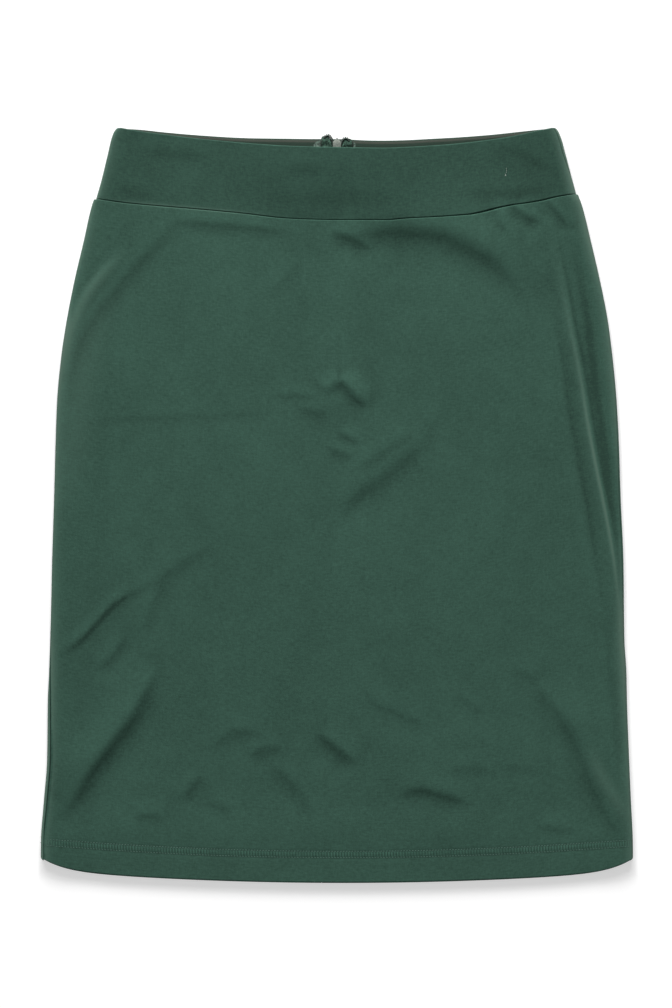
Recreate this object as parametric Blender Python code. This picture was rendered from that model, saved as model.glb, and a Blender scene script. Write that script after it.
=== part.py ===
"""A-line skirt of stretch jersey, lying on its back with its panels flat on each other.

+X runs across the skirt, +Y from hem to waist and +Z up out of the front. The origin is on the
surface that the skirt lies on, under its middle. Sizes here are in millimetres and become metres
as each mesh is made. "down" is a distance towards the hem, from a level waist line that lies
just under the corners of the waist.
"""
import math
from collections import namedtuple

import bmesh
import bpy
import numpy as np

MM = 0.001


def chart(names, *rows):
    """A table with named columns, as one array for each name."""
    return {name: np.array(column, float) for name, column in zip(names.split(), zip(*rows))}


# ---------------------------------------------------------------- sizes
LENGTH = 603.9  # from the waist line to the lowest point of the hem
CORNER_RISE = 0.6  # how far the waist's two corners stand above the waist line
CLOTH_WALL = 1.1
BAND_WALL = 1.6  # the waistband and its facing together
HEM_WALL = 1.8  # the panel and its turned-up hem together
HEM_DEPTH = 28.0
SEAM_GAP = 0.3  # between two pieces that a seam joins
SIDE_REACH = 42.0  # how far in from the outline the soft side edge settles down
FRONT_HEM_RISE = 0.8  # the back hem shows this far below the front one
HEM_BOW, HEM_CORNER = 9.7, 8.5  # rise of the hem towards its ends, and of its rounded corners
HEM_LOWEST = 0.02  # where it is lowest, as a share of its half width
CORNER_TURN, CORNER_FROM = 2.6, 545.0  # how far the folded edge turns up at the hem, and from how far down

# Outline of the flat skirt: half widths on each side of its middle line. Each side seam lies on
# the folded edge, turned this many degrees from its outermost line (0) towards its top (90).
PANELS = chart(
    "down   left   right  turn_left turn_right",
    (53.0, 193.2, 193.1, 0, 0),
    (61.0, 196.1, 196.1, 0, 0),
    (89.0, 202.6, 203.2, 0, 0),
    (121.0, 210.1, 210.6, 0, 0),
    (153.0, 216.3, 216.9, 0, 0),
    (185.0, 221.1, 221.0, 0, 10),
    (217.0, 224.1, 223.9, 0, 25),
    (249.0, 225.3, 225.7, 0, 42),
    (297.0, 226.6, 227.3, 0, 45),
    (345.0, 228.1, 229.4, 0, 45),
    (409.0, 229.6, 230.2, 15, 20),
    (435.0, 230.5, 231.9, 45, 8),
    (457.0, 231.5, 232.3, 68, 0),
    (505.0, 232.1, 234.0, 80, 0),
    (537.0, 234.6, 235.3, 62, 0),
    (569.0, 236.9, 236.9, 78, 10),
    (582.0, 237.1, 237.1, 82, 10),
)
BANDS = chart(
    "down   left   right  turn_left turn_right",
    (-0.6, 176.1, 175.2, 0, 72),
    (2.4, 178.5, 177.4, 0, 72),
    (21.0, 183.6, 183.2, 0, 66),
    (40.0, 188.2, 188.2, 0, 30),
    (57.0, 193.0, 193.0, 0, 0),
)
# How high the front lies: along its folded side edges and in its middle, and how far in from the
# outline the edge's fold turns over.
LIE = chart(
    "down  edge middle turn_in",
    (0.0, 5.8, 4.0, 3.4),
    (54.0, 5.8, 4.2, 3.4),
    (66.0, 5.3, 4.2, 3.5),
    (110.0, 4.9, 3.7, 3.6),
    (300.0, 4.8, 3.5, 3.6),
    (530.0, 4.9, 3.6, 3.6),
    (568.0, 5.7, 4.3, 3.1),
    (603.0, 5.7, 4.3, 3.0),
)
# Edges across the skirt, from its left side (-1) to its right (1).
EDGES = chart(
    "across front_top back_top front_seam",
    (-1.0, -0.6, -0.6, 56.5),
    (-0.9, 2.0, 0.4, 59.1),
    (-0.8, 4.1, 2.2, 60.9),
    (-0.6, 8.2, 5.1, 64.1),
    (-0.4, 11.5, 7.0, 67.6),
    (-0.2, 14.1, 7.5, 71.8),
    (0.0, 15.3, 8.1, 73.1),
    (0.2, 15.6, 9.0, 73.2),
    (0.3, 14.9, 8.7, 71.8),
    (0.4, 13.8, 7.8, 70.9),
    (0.5, 12.5, 6.9, 69.6),
    (0.55, 11.6, 6.4, 68.8),
    (0.6, 10.7, 5.8, 67.0),
    (0.67, 9.2, 4.9, 63.6),
    (0.74, 7.5, 3.8, 60.9),
    (0.8, 5.8, 2.7, 59.4),
    (0.86, 3.8, 1.6, 57.4),
    (0.93, 1.5, 0.4, 54.5),
    (1.0, -0.6, -0.6, 52.6),
)
# The centre-back seam, which has wandered to the left below the zip.
CENTRE_BACK = chart(
    "down   x",
    (0.0, 0.0),
    (205.0, 0.0),
    (245.0, -9.0),
    (290.0, -18.5),
    (380.0, -19.8),
    (470.0, -19.4),
    (603.0, -12.4),
)
# The front rides over the zip: how far above its middle height, and how wide.
ZIP_RIDGE = chart(
    "down  height width",
    (0.0, 4.8, 58.0),
    (20.0, 4.7, 56.0),
    (45.0, 3.4, 48.0),
    (62.0, 1.7, 38.0),
    (80.0, 1.1, 28.0),
    (100.0, 0.95, 22.0),
    (212.0, 0.95, 20.0),
    (240.0, 0.0, 16.0),
    (603.0, 0.0, 16.0),
)

# The largest creases of the front. At a step the cloth drops along a line, and is level again at
# some reach on both sides. A line that is listed from left to right has its high side towards the
# waist, one that is listed upwards has it on the left. A ridge stands up along its line.
CREASE_FADE = 0.36  # share of a crease's length over which each end dies away
DEEPEST = 1.15  # how far a step goes below the level around it, at most
Step = namedtuple("Step", "width drop reach points")
Ridge = namedtuple("Ridge", "over under height points")
FRONT_STEPS = (
    Step(7.6, 4.2, 42, ((-6, 85), (34, 84.5), (72, 81), (100, 91.5), (129, 109), (150, 132))),  # under the waist
    Step(6, 1.5, 20, ((-220, 244), (-213.5, 191), (-197, 151), (-165, 113), (-132, 78))),  # across the left hip
    Step(6, 1.5, 18, ((213, 395), (205, 338), (195.5, 282), (185, 223), (170, 140))),  # inside the right side
    Step(6, 1.1, 14, ((225, 540), (220, 473), (217, 441), (212, 385))),  # and further down
    Step(6, 2.0, 16, ((-2, 196), (9, 209.5), (15.5, 217), (27, 224))),  # at the zip's end
    Step(6, 1.7, 24, ((-3, 323), (9, 301), (37, 282), (60, 263), (79, 244))),  # drag line below the zip
    Step(6, 1.8, 16, ((-220, 419), (-198, 403), (-182, 385), (-154, 366), (-98, 330))),  # across the left thigh
    Step(6, 3.6, 28, ((-240, 572), (-213, 541), (-175, 487), (-156, 456), (-134, 420))),  # left of the hem
    Step(6, 1.8, 18, ((-18, 480), (-5, 492), (9, 504), (25, 514))),  # in the middle, above the hem
    Step(6, 1.4, 18, ((44, 537), (56, 530.5), (80, 532), (112, 541))),  # to its right
    Step(6, 3.4, 30, ((157, 440), (176, 468.5), (200, 514.5), (211, 538.5), (233, 577.5))),  # right of the hem
)
FRONT_RIDGES = (
    Ridge(4, 8, 1.8, ((165, 56), (182, 125), (197, 201), (210, 279), (223.5, 367), (227, 410))),  # right side
    Ridge(6, 6, -1.0, ((184, 75), (201, 157), (208.5, 217), (221, 310), (226, 350))),  # hollow outside it
    Ridge(6, 6, 0.8, ((-217, 200), (-203.5, 139), (-166, 92))),  # left hip
)

# The concealed zip.
ZIP_END = 212.0
TAPE_WALL = 1.0
TAPE_END_WALL = 1.9  # where the top of a tape is folded over
TAPE_WIDTH = 12.0
TAPE_PART = 0.5  # half the gap between the tapes, behind the coils
TAPE_END_LENGTH = 10.0  # how much of it is folded
TAPE_STEP = (70.0, 84.0)  # between these, a tape steps down from the waistband to the panel
NECK_PART = 0.95  # half the gap that the slider's neck stands in
NECK_PART_EASE = 6.0  # the gap closes over this length at each end of the neck
TAPE_TOPS = chart(
    "out    left  right",
    (0.0, 12.5, 12.6),
    (2.0, 11.8, 12.0),
    (3.2, 10.4, 10.8),
    (4.4, 8.4, 9.4),
    (6.8, 5.6, 7.7),
    (9.4, 5.7, 8.0),
    (11.2, 6.2, 8.7),
    (12.2, 7.8, 9.6),
    (13.5, 9.6, 11.0),
)
SLIDER_NOSE = 8.2  # down to the tip of the slider
SLIDER_LENGTH = 7.6
SLIDER_WIDTH = 6.6
SLIDER_HEIGHT = 1.8
NECK_WIDTH = 1.0
NECK_TOP, NECK_BOTTOM = 9.6, 15.0  # the neck's two ends, down
LOOP_ENDS = 1.1  # the neck's strips on each side of the pull's bar
LOOP_WALL = 0.35  # the strip of the neck that passes under the bar
SLIDER_UNDER = 0.75  # from the tapes to the slider's body, where the coils run
BACK_LIFT = 1.85  # the pull tab holds the back waistband this far off the surface
LIFT_CORE, LIFT_REACH = 4.5, 24.0  # across: fully lifted to the one, flat from the other
LIFT_FROM, LIFT_TO = 46.0, 62.0  # down: the same
PULL_THICK = 0.8
PULL_BAR = 0.8
PULL_WINDOW = (1.7, 3.4)  # its width, and its length below the bar
PULL_AXIS_DOWN, PULL_AXIS_Z = 12.2, 1.0
PULL_DROOP = math.radians(1.1)  # its end rests just clear of the surface
PULL_WIDTHS = chart(
    "along  half",
    (-0.4, 1.7),
    (0.4, 2.05),
    (4.2, 2.05),
    (8.5, 1.45),
    (15.0, 1.8),
    (20.5, 2.4),
    (22.8, 2.0),
    (24.0, 0.7),
)

CLOTH_COLOUR = (0.040, 0.084, 0.064)
TAPE_COLOUR = (0.045, 0.092, 0.066)
METAL_COLOUR = (0.19, 0.23, 0.20)


# ---------------------------------------------------------------- curves and heights
def follow(table, key, value, at):
    """A smooth curve through two columns of a table. It never overshoots, and is level past its ends."""
    x, y = table[key], table[value]
    width = np.diff(x)
    rise = np.diff(y) / width
    before, after = rise[:-1], rise[1:]
    one_way = before * after > 0
    heavy, light = 2 * width[1:] + width[:-1], width[1:] + 2 * width[:-1]
    mean = (heavy + light) / (heavy / np.where(one_way, before, 1) + light / np.where(one_way, after, 1))
    slope = np.concatenate([rise[:1], np.where(one_way, mean, 0), rise[-1:]])
    at = np.clip(at, x[0], x[-1])
    row = np.clip(np.searchsorted(x, at) - 1, 0, len(x) - 2)
    t = (at - x[row]) / width[row]
    ends = y[row] * (1 + 2 * t) * (1 - t) ** 2 + y[row + 1] * t**2 * (3 - 2 * t)
    return ends + width[row] * t * (1 - t) * (slope[row] * (1 - t) - slope[row + 1] * t)


def ease(t):
    """0 to 1 with a level start and end."""
    t = np.clip(t, 0, 1)
    return t * t * (3 - 2 * t)


def y_at(down):
    return (LENGTH - CORNER_RISE) / 2 - down


def hem_down(across):
    """The hem's edge, bowed, with rounded corners."""
    return LENGTH - HEM_BOW * (across - HEM_LOWEST) ** 2 - HEM_CORNER * np.abs(across) ** 14


def from_line(points, reach, x, down):
    """Distance from a smooth line, positive on its right-hand side, and how much is left near its ends."""
    corners = np.array(points, float)
    run = np.concatenate([[0], np.cumsum(np.linalg.norm(np.diff(corners, axis=0), axis=1))])
    table = {"run": run / run[-1], "x": corners[:, 0], "down": corners[:, 1]}
    line = np.stack([follow(table, "run", name, np.linspace(0, 1, 15)) for name in ("x", "down")], axis=-1)
    place = np.stack(np.broadcast_arrays(x, down), axis=-1).astype(float)
    nearest = np.full(place.shape[:-1], np.inf)
    along, side = np.zeros_like(nearest), np.zeros_like(nearest)
    for i, (a, b) in enumerate(zip(line[:-1], line[1:])):
        offset = place - a
        t = np.clip(offset @ (b - a) / np.dot(b - a, b - a), 0, 1)
        distance = np.linalg.norm(offset - t[..., None] * (b - a), axis=-1)
        closer = distance < nearest
        nearest = np.where(closer, distance, nearest)
        along = np.where(closer, (i + t) / (len(line) - 1), along)
        side = np.where(closer, (b - a)[0] * offset[..., 1] - (b - a)[1] * offset[..., 0], side)
    fade = ease(along / CREASE_FADE) * ease((1 - along) / CREASE_FADE)
    return np.copysign(nearest, side), np.where(nearest < 2.6 * reach, fade, 0)


def step_height(step, x, down):
    """A drop across a line, from its high side to its low one, level again at some reach."""
    distance, fade = from_line(step.points, step.reach, x, down)
    u = distance / step.width
    fall = step.drop * (0.5 - u / (2 * np.sqrt(1 + u * u))) - min(step.drop / 2, DEEPEST)
    return fade * fall * np.exp(-((distance / step.reach) ** 2))


def ridge_height(ridge, x, down):
    """A ridge along a line, or a hollow below zero, with its own width on each side."""
    distance, fade = from_line(ridge.points, max(ridge.over, ridge.under), x, down)
    width = np.where(distance > 0, ridge.under, ridge.over)
    return ridge.height * fade * np.exp(-((distance / width) ** 2))


def front_height(outline, x, down):
    """Height of the front's outer face."""
    inward = np.minimum(x + follow(outline, "down", "left", down), follow(outline, "down", "right", down) - x)
    edge, middle = (follow(LIE, "down", name, down) for name in ("edge", "middle"))
    height = edge + (middle - edge) * ease(inward / SIDE_REACH)
    from_zip = (x - follow(CENTRE_BACK, "down", "x", down)) / follow(ZIP_RIDGE, "down", "width", down)
    height = height + follow(ZIP_RIDGE, "down", "height", down) * np.exp(-(from_zip**2))
    for step in FRONT_STEPS:
        height = height + step_height(step, x, down)
    for ridge in FRONT_RIDGES:
        height = height + ridge_height(ridge, x, down)
    return height


def back_height(x, down):
    """Height of the back's outer face: flat on the surface, but lifted over the pull tab."""
    beside = 1 - ease((np.abs(x) - LIFT_CORE) / (LIFT_REACH - LIFT_CORE))
    return BACK_LIFT * beside * (1 - ease((down - LIFT_FROM) / (LIFT_TO - LIFT_FROM)))


def opening_half(down):
    """Half the gap between the back's two halves: a seam's, and wider at the slider's neck."""
    middle, half_length = (NECK_TOP + NECK_BOTTOM) / 2, (NECK_BOTTOM - NECK_TOP) / 2
    apart = 1 - ease((np.abs(down - middle) - half_length - 2 * SEAM_GAP) / NECK_PART_EASE)
    return SEAM_GAP / 2 + (NECK_PART - SEAM_GAP / 2) * apart


# ---------------------------------------------------------------- sections of the skirt
UP, DOWN = np.array([0.0, 0.0, 1.0]), np.array([0.0, 0.0, -1.0])


def column(x, down, z, out):
    """Points down the skirt and the way that each faces, as a pair of arrays."""
    points = np.stack([x, y_at(down), np.broadcast_to(z, down.shape)], axis=-1)
    return points, np.broadcast_to(out, points.shape)


def edge_column(outline, side, face, share, down):
    """The folded side edge at one turn: share 0 is the side seam, 1 the end of the fold."""
    name = "left" if side < 0 else "right"
    turn_in = follow(LIE, "down", "turn_in", down)
    outer = follow(outline, "down", name, down)
    half_height = front_height(outline, side * (outer - turn_in), down) / 2
    seam = np.radians(follow(outline, "down", "turn_" + name, down))
    arc_per_turn = np.hypot(turn_in * np.sin(seam), half_height * np.cos(seam))
    first = seam + face * (SEAM_GAP / 2) / arc_per_turn
    turn = first + (face * math.pi / 2 - first) * share
    x = side * (outer - turn_in * (1 - np.cos(turn)))
    z = half_height * (1 + np.sin(turn))
    down = down - CORNER_TURN * ease((down - CORNER_FROM) / 35) * (1 - np.abs(np.sin(turn)))
    facing = turn if share > 0 else seam  # both sides of a seam are cut parallel
    out = np.stack([side * np.cos(facing) / turn_in, 0 * turn, np.sin(facing) / half_height], axis=-1)
    return column(x, down, z, out / np.linalg.norm(out, axis=-1, keepdims=True))


def front_face(outline, edge_shares, flats, rows, top, bottom):
    """Columns of the front's outer face, left to right, between two edges across the skirt."""
    columns = []
    for side in (-1, 1):
        down = top(side) + (bottom(side) - top(side)) * rows
        shares = edge_shares if side < 0 else edge_shares[::-1]
        columns += [edge_column(outline, side, 1, share, down) for share in shares]
    middle = []
    for t in np.linspace(0, 1, flats + 1)[1:-1]:
        across = 2 * t - 1
        down = top(across) + (bottom(across) - top(across)) * rows
        turn_in = follow(LIE, "down", "turn_in", down)
        low = turn_in - follow(outline, "down", "left", down)
        high = follow(outline, "down", "right", down) - turn_in
        x = low + (high - low) * t
        middle.append(column(x, down, front_height(outline, x, down), UP))
    half = len(edge_shares)
    return columns[:half] + middle + columns[half:]


def back_face(outline, side, edge_shares, places, rows, top, bottom):
    """Columns of one half of the back's outer face, from its side seam to the centre back (1)."""
    down = top(side) + (bottom(side) - top(side)) * rows
    columns = [edge_column(outline, side, -1, share, down) for share in edge_shares]
    name = "left" if side < 0 else "right"
    lean = follow(CENTRE_BACK, "down", "x", outline["down"][-1]) / outline["left"][-1]
    for t in places:
        across = side * (1 - t)
        down = top(across) + (bottom(across + t * lean) - top(across)) * rows
        start = side * (follow(outline, "down", name, down) - follow(LIE, "down", "turn_in", down))
        centre = follow(CENTRE_BACK, "down", "x", down) + side * opening_half(down)
        x = start + (centre - start) * t
        columns.append(column(x, down, back_height(x, down), DOWN))
    return columns


# ---------------------------------------------------------------- objects
def material(name, colour, roughness, metallic=0.0):
    made = bpy.data.materials.new(name)
    made.use_nodes = True
    shader = made.node_tree.nodes["Principled BSDF"]
    shader.inputs["Base Color"].default_value = (*colour, 1)
    shader.inputs["Roughness"].default_value = roughness
    shader.inputs["Metallic"].default_value = metallic
    return made


def wall(name, columns, thickness, finish):
    """A piece of cloth: its outer face, the same points moved in, and the cut edges between."""
    outer, out = (np.stack(part, axis=1) for part in zip(*columns))
    rows, across = outer.shape[:2]
    inner = outer - out * np.broadcast_to(thickness, (rows, across))[..., None]
    index = np.arange(rows * across).reshape(rows, across)
    cells = np.stack([index[:-1, :-1], index[1:, :-1], index[1:, 1:], index[:-1, 1:]], axis=-1).reshape(-1, 4)
    rim = np.concatenate([index[0, :-1], index[:-1, -1], index[-1, :0:-1], index[:0:-1, 0]])
    after, inside = np.roll(rim, -1), rows * across
    edges = np.stack([rim, after, after + inside, rim + inside], axis=-1)
    faces = np.concatenate([cells, cells[:, ::-1] + inside, edges])
    first, second = outer[1, 0] - outer[0, 0], outer[1, 1] - outer[1, 0]
    if np.cross(first, second) @ out[0, 0] < 0:
        faces = faces[:, ::-1]
    mesh = bpy.data.meshes.new(name)
    mesh.from_pydata((np.concatenate([outer, inner]).reshape(-1, 3) * MM).tolist(), [], faces.tolist())
    mesh.shade_smooth()
    mesh.set_sharp_from_angle(angle=math.radians(50))
    mesh.materials.append(finish)
    skirt.objects.link(bpy.data.objects.new(name, mesh))


def plate(name, outlines, thickness, rounding, finish):
    """A flat plate as a 2D curve with rounded edges: its outline, then any holes in it."""
    outline = bpy.data.curves.new(name, "CURVE")
    outline.dimensions = "2D"
    outline.fill_mode = "BOTH"
    outline.extrude = (thickness / 2 - rounding) * MM
    outline.bevel_depth = rounding * MM
    outline.bevel_resolution = 1
    outline.offset = -rounding * MM
    outline.materials.append(finish)
    for points in outlines:
        spline = outline.splines.new("POLY")
        spline.points.add(len(points) - 1)
        for point, (x, y) in zip(spline.points, points):
            point.co = (x * MM, y * MM, 0, 1)
        spline.use_cyclic_u = True
    return bpy.data.objects.new(name, outline)


def as_mesh(source, collection):
    """The mesh of a curve object, with its caps welded on, in the curve's place."""
    bpy.context.scene.collection.objects.link(source)
    bpy.context.view_layer.update()
    evaluated = source.evaluated_get(bpy.context.evaluated_depsgraph_get())
    mesh = bpy.data.meshes.new_from_object(evaluated)
    name, place = source.name, source.matrix_world.copy()
    bpy.data.objects.remove(source)
    made = bpy.data.objects.new(name, mesh)
    made.matrix_world = place
    welded = bmesh.new()
    welded.from_mesh(mesh)
    bmesh.ops.remove_doubles(welded, verts=welded.verts, dist=0.00002)
    bmesh.ops.recalc_face_normals(welded, faces=welded.faces)
    welded.to_mesh(mesh)
    welded.free()
    collection.objects.link(made)
    return made


# ---------------------------------------------------------------- pieces
# Where the columns stand. A panel and the waistband above it share them, so that the gap between
# them at the waist seam is even. The back's are close together at the hem's corners and at the
# pull tab, from its side fold (0) to the centre back (1).
FRONT_FLATS = 52
BACK_COLUMNS = (0.04, 0.1, 0.18, 0.26, 0.34, 0.42, 0.51, 0.61, 0.72, 0.82, 0.88, 0.93, 0.965, 1)


def back_seam(across):
    """The back's waist seam: as far below its top edge as the front's is below its own."""
    front = follow(EDGES, "across", "front_seam", across)
    tops = follow(EDGES, "across", "back_top", across) - follow(EDGES, "across", "front_top", across)
    return front + tops


def edge_of(name, shift=0.0):
    return lambda across: follow(EDGES, "across", name, across) + shift


def panel_rows(count):
    """Row places down a panel, 0 to 1: close under the waist seam and at the turned-up hem."""
    depth = LENGTH - 70
    hem = [depth - HEM_DEPTH - 3, depth - HEM_DEPTH, depth - HEM_DEPTH / 2, depth]
    body = np.linspace(9, hem[0], count - 5)
    return np.array([0, 3, *body, *hem[1:]]) / depth


def build_panels(cloth):
    rows = panel_rows(48)
    walls = np.where(rows < rows[-3], CLOTH_WALL, HEM_WALL)[:, None]
    front = front_face(
        PANELS, (0, 0.33, 0.67, 1), FRONT_FLATS, rows,
        edge_of("front_seam", SEAM_GAP / 2), lambda across: hem_down(across) - FRONT_HEM_RISE,
    )
    wall("front_panel", front, walls, cloth)
    for side, name in ((-1, "left"), (1, "right")):
        back = back_face(
            PANELS, side, (0, 0.25, 0.5, 0.75, 1), BACK_COLUMNS, rows,
            lambda across: back_seam(across) + SEAM_GAP / 2, hem_down,
        )
        wall(f"back_panel_{name}", back, walls, cloth)


def build_waistband(cloth):
    rows = np.array([0, 0.05, 0.3, 0.55, 0.8, 0.95, 1])
    front = front_face(
        BANDS, (0, 0.33, 0.67, 1), FRONT_FLATS, rows,
        edge_of("front_top"), edge_of("front_seam", -SEAM_GAP / 2),
    )
    wall("waistband_front", front, BAND_WALL, cloth)
    for side, name in ((-1, "left"), (1, "right")):
        back = back_face(
            BANDS, side, (0, 0.33, 0.67, 1), BACK_COLUMNS, rows,
            edge_of("back_top"), lambda across: back_seam(across) - SEAM_GAP / 2,
        )
        wall(f"waistband_back_{name}", back, BAND_WALL, cloth)


def build_zip_tape(side, name, finish):
    """A tape on the back's inner face, its top end folded over and standing above the edge."""
    rows = np.array([0, 0.008, 0.02, 0.04, 0.07, 0.11, 0.16, 0.22, 0.28, 0.34, *np.linspace(0.42, 1, 9)])
    columns, outs = [], np.linspace(0, TAPE_WIDTH, 6)
    for out in outs:
        top = follow(TAPE_TOPS, "out", name, out)
        down = top + (ZIP_END - top) * rows
        start = np.maximum(opening_half(down), TAPE_PART)
        x = side * (start + (TAPE_WIDTH - start + TAPE_PART) * out / TAPE_WIDTH)
        step = ease((down - TAPE_STEP[0]) / (TAPE_STEP[1] - TAPE_STEP[0]))
        below = BAND_WALL + (CLOTH_WALL - BAND_WALL) * step
        columns.append(column(x, down, back_height(x, down) + below + SEAM_GAP, DOWN))
    folded = (rows[:, None] * ZIP_END < TAPE_END_LENGTH) & (outs > SLIDER_WIDTH / 2)
    wall(f"zip_tape_{name}", columns, np.where(folded, TAPE_END_WALL, TAPE_WALL), finish)


def build_slider(metal, cutters):
    """The slider's body on the inside, with a neck through the opening that ends in a loop."""
    half, nose = SLIDER_WIDTH / 2, SLIDER_LENGTH / 2
    right = [(half * 0.92, -nose), (half, -nose * 0.25), (half * 0.6, nose * 0.45), (half * 0.12, nose)]
    outline = right + [(-x, y) for x, y in reversed(right)]
    under = BACK_LIFT + BAND_WALL + TAPE_WALL + SLIDER_UNDER
    body = plate("zip_slider", [outline], SLIDER_HEIGHT, 0.35, metal)
    body.location = (0, y_at(SLIDER_NOSE + nose) * MM, (under + SLIDER_HEIGHT / 2) * MM)
    body = as_mesh(body, skirt)

    top, bottom = y_at(NECK_TOP), y_at(NECK_BOTTOM)
    neck_height = under + SLIDER_HEIGHT / 2
    edge = [(bottom, 0), (top, 0), (top, neck_height), (bottom, neck_height)]
    axis_y, hole_half = y_at(PULL_AXIS_DOWN), (top - bottom) / 2 - LOOP_ENDS
    hole = [
        (axis_y - hole_half, LOOP_WALL), (axis_y + hole_half, LOOP_WALL),
        (axis_y + hole_half, BACK_LIFT), (axis_y - hole_half, BACK_LIFT),
    ]
    neck = plate("slider_neck", [edge, hole], NECK_WIDTH, 0.0, metal)
    neck.rotation_euler = (math.pi / 2, 0, math.pi / 2)
    neck = as_mesh(neck, cutters)
    neck.hide_render = True
    neck.display_type = "WIRE"
    join = body.modifiers.new("neck", "BOOLEAN")
    join.operation = "UNION"
    join.object = neck


def build_pull(metal):
    """The tab that hangs from the slider's loop, outside the back, pointing to the hem."""
    along = np.concatenate([PULL_WIDTHS["along"][:2], np.linspace(2, 20, 7), PULL_WIDTHS["along"][5:]])
    right = list(zip(follow(PULL_WIDTHS, "along", "half", along), -along))
    outline = right + [(-x, y) for x, y in reversed(right)]
    half, length = PULL_WINDOW[0] / 2, PULL_WINDOW[1]
    high = -PULL_BAR / 2
    low = high - length
    window = [(-half, high), (-half, low), (half, low), (half, high)]
    tab = plate("zip_pull", [outline, window], PULL_THICK, 0.2, metal)
    tab.location = (0, y_at(PULL_AXIS_DOWN) * MM, PULL_AXIS_Z * MM)
    tab.rotation_euler = (PULL_DROOP, 0, 0)
    as_mesh(tab, skirt)


for old in list(bpy.data.objects):
    bpy.data.objects.remove(old)

skirt = bpy.data.collections.new("a_line_skirt")
cutter_collection = bpy.data.collections.new("cutters")
for made_collection in (skirt, cutter_collection):
    bpy.context.scene.collection.children.link(made_collection)

jersey = material("jersey", CLOTH_COLOUR, 0.9)
zip_tape = material("zip_tape", TAPE_COLOUR, 0.85)
painted_metal = material("painted_metal", METAL_COLOUR, 0.45, 0.3)

build_panels(jersey)
build_waistband(jersey)
for tape_side, tape_name in ((-1, "left"), (1, "right")):
    build_zip_tape(tape_side, tape_name, zip_tape)
build_slider(painted_metal, cutter_collection)
build_pull(painted_metal)
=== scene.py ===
# %% [markdown]
# # An A-line skirt of stretch jersey, laid on its back
#
# The real skirt is a few cut pieces: one front panel, two back panels, a shaped waistband in
# three parts, a concealed zip in the centre back, and the thread that holds them. It lies flat
# with its front uppermost, pressed nearly smooth, with soft creases where it was folded.
#
# Each piece here is a surface worked out from sizes in millimetres and short tables, as a
# pattern cutter would note them down. A cloth simulation could drape it too, but these creases
# lie at known places, and a formula puts each one exactly there every time.

# %% Load the frame, and keep its box
import math
from collections import namedtuple

import bpy
import numpy as np
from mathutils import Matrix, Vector


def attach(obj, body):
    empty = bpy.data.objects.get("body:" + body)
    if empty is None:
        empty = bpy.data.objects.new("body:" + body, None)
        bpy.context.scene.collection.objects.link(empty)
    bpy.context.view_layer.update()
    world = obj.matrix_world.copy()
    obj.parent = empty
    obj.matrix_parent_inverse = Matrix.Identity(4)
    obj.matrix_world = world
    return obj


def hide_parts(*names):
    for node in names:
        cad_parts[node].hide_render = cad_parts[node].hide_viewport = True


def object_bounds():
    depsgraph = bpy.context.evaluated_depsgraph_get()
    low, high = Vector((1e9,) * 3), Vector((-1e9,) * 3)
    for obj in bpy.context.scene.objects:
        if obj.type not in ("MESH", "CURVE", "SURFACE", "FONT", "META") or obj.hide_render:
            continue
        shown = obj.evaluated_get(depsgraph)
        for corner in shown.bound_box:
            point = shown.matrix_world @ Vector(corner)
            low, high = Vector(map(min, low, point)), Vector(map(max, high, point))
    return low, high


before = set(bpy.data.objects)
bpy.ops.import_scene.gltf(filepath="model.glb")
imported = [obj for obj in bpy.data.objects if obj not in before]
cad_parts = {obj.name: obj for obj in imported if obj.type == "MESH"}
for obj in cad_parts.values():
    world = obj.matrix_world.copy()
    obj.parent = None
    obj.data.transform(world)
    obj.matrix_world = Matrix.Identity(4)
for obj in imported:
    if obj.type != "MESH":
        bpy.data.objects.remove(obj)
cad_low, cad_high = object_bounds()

MM = 0.001
SIDES = {-1: "left", 1: "right"}
CORNER_RISE = 0.6  # how far the waist's two corners stand above the waist line
LENGTH = (cad_high.y - cad_low.y) / MM - CORNER_RISE
print(f"frame: {len(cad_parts)} nodes, {LENGTH:.1f} mm from the waist line to the hem")

# %% [markdown]
# ## The outline
#
# A table with named columns gives the skirt's half width at a few distances down from the waist
# line, a level line just under the corners of the waist. A smooth curve runs through each column.
# It never overshoots between two rows, so a measured width is also the widest that the cloth gets.
#
# The side seams do not all lie on the very edge: the skirt has rolled a little, so that a strip
# of the back shows beside the front. `turn` is how far round the folded edge the seam has come,
# from 0 degrees at the outermost line to 90 degrees on top.


# %% Tables and the curves through them
def chart(names, *rows):
    """A table with named columns, as one array for each name."""
    return {name: np.array(column, float) for name, column in zip(names.split(), zip(*rows))}


def follow(table, key, value, at):
    """A smooth curve through two columns of a table, level past its first and last rows.

    Between two rows it is a cubic. Its slope at a row is the weighted harmonic mean of the rises
    before and after it, or 0 where one of them goes up and the other down.
    """
    x, y = table[key], table[value]
    width = np.diff(x)
    rise = np.diff(y) / width
    before, after = rise[:-1], rise[1:]
    one_way = before * after > 0
    heavy, light = 2 * width[1:] + width[:-1], width[1:] + 2 * width[:-1]
    mean = (heavy + light) / (heavy / np.where(one_way, before, 1) + light / np.where(one_way, after, 1))
    slope = np.concatenate([rise[:1], np.where(one_way, mean, 0), rise[-1:]])
    at = np.clip(at, x[0], x[-1])
    row = np.clip(np.searchsorted(x, at) - 1, 0, len(x) - 2)
    t = (at - x[row]) / width[row]
    ends = y[row] * (1 + 2 * t) * (1 - t) ** 2 + y[row + 1] * t**2 * (3 - 2 * t)
    return ends + width[row] * t * (1 - t) * (slope[row] * (1 - t) - slope[row + 1] * t)


def ease(t):
    """From 0 to 1, level at both ends: three t squared less two t cubed."""
    t = np.clip(t, 0, 1)
    return t * t * (3 - 2 * t)


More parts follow.
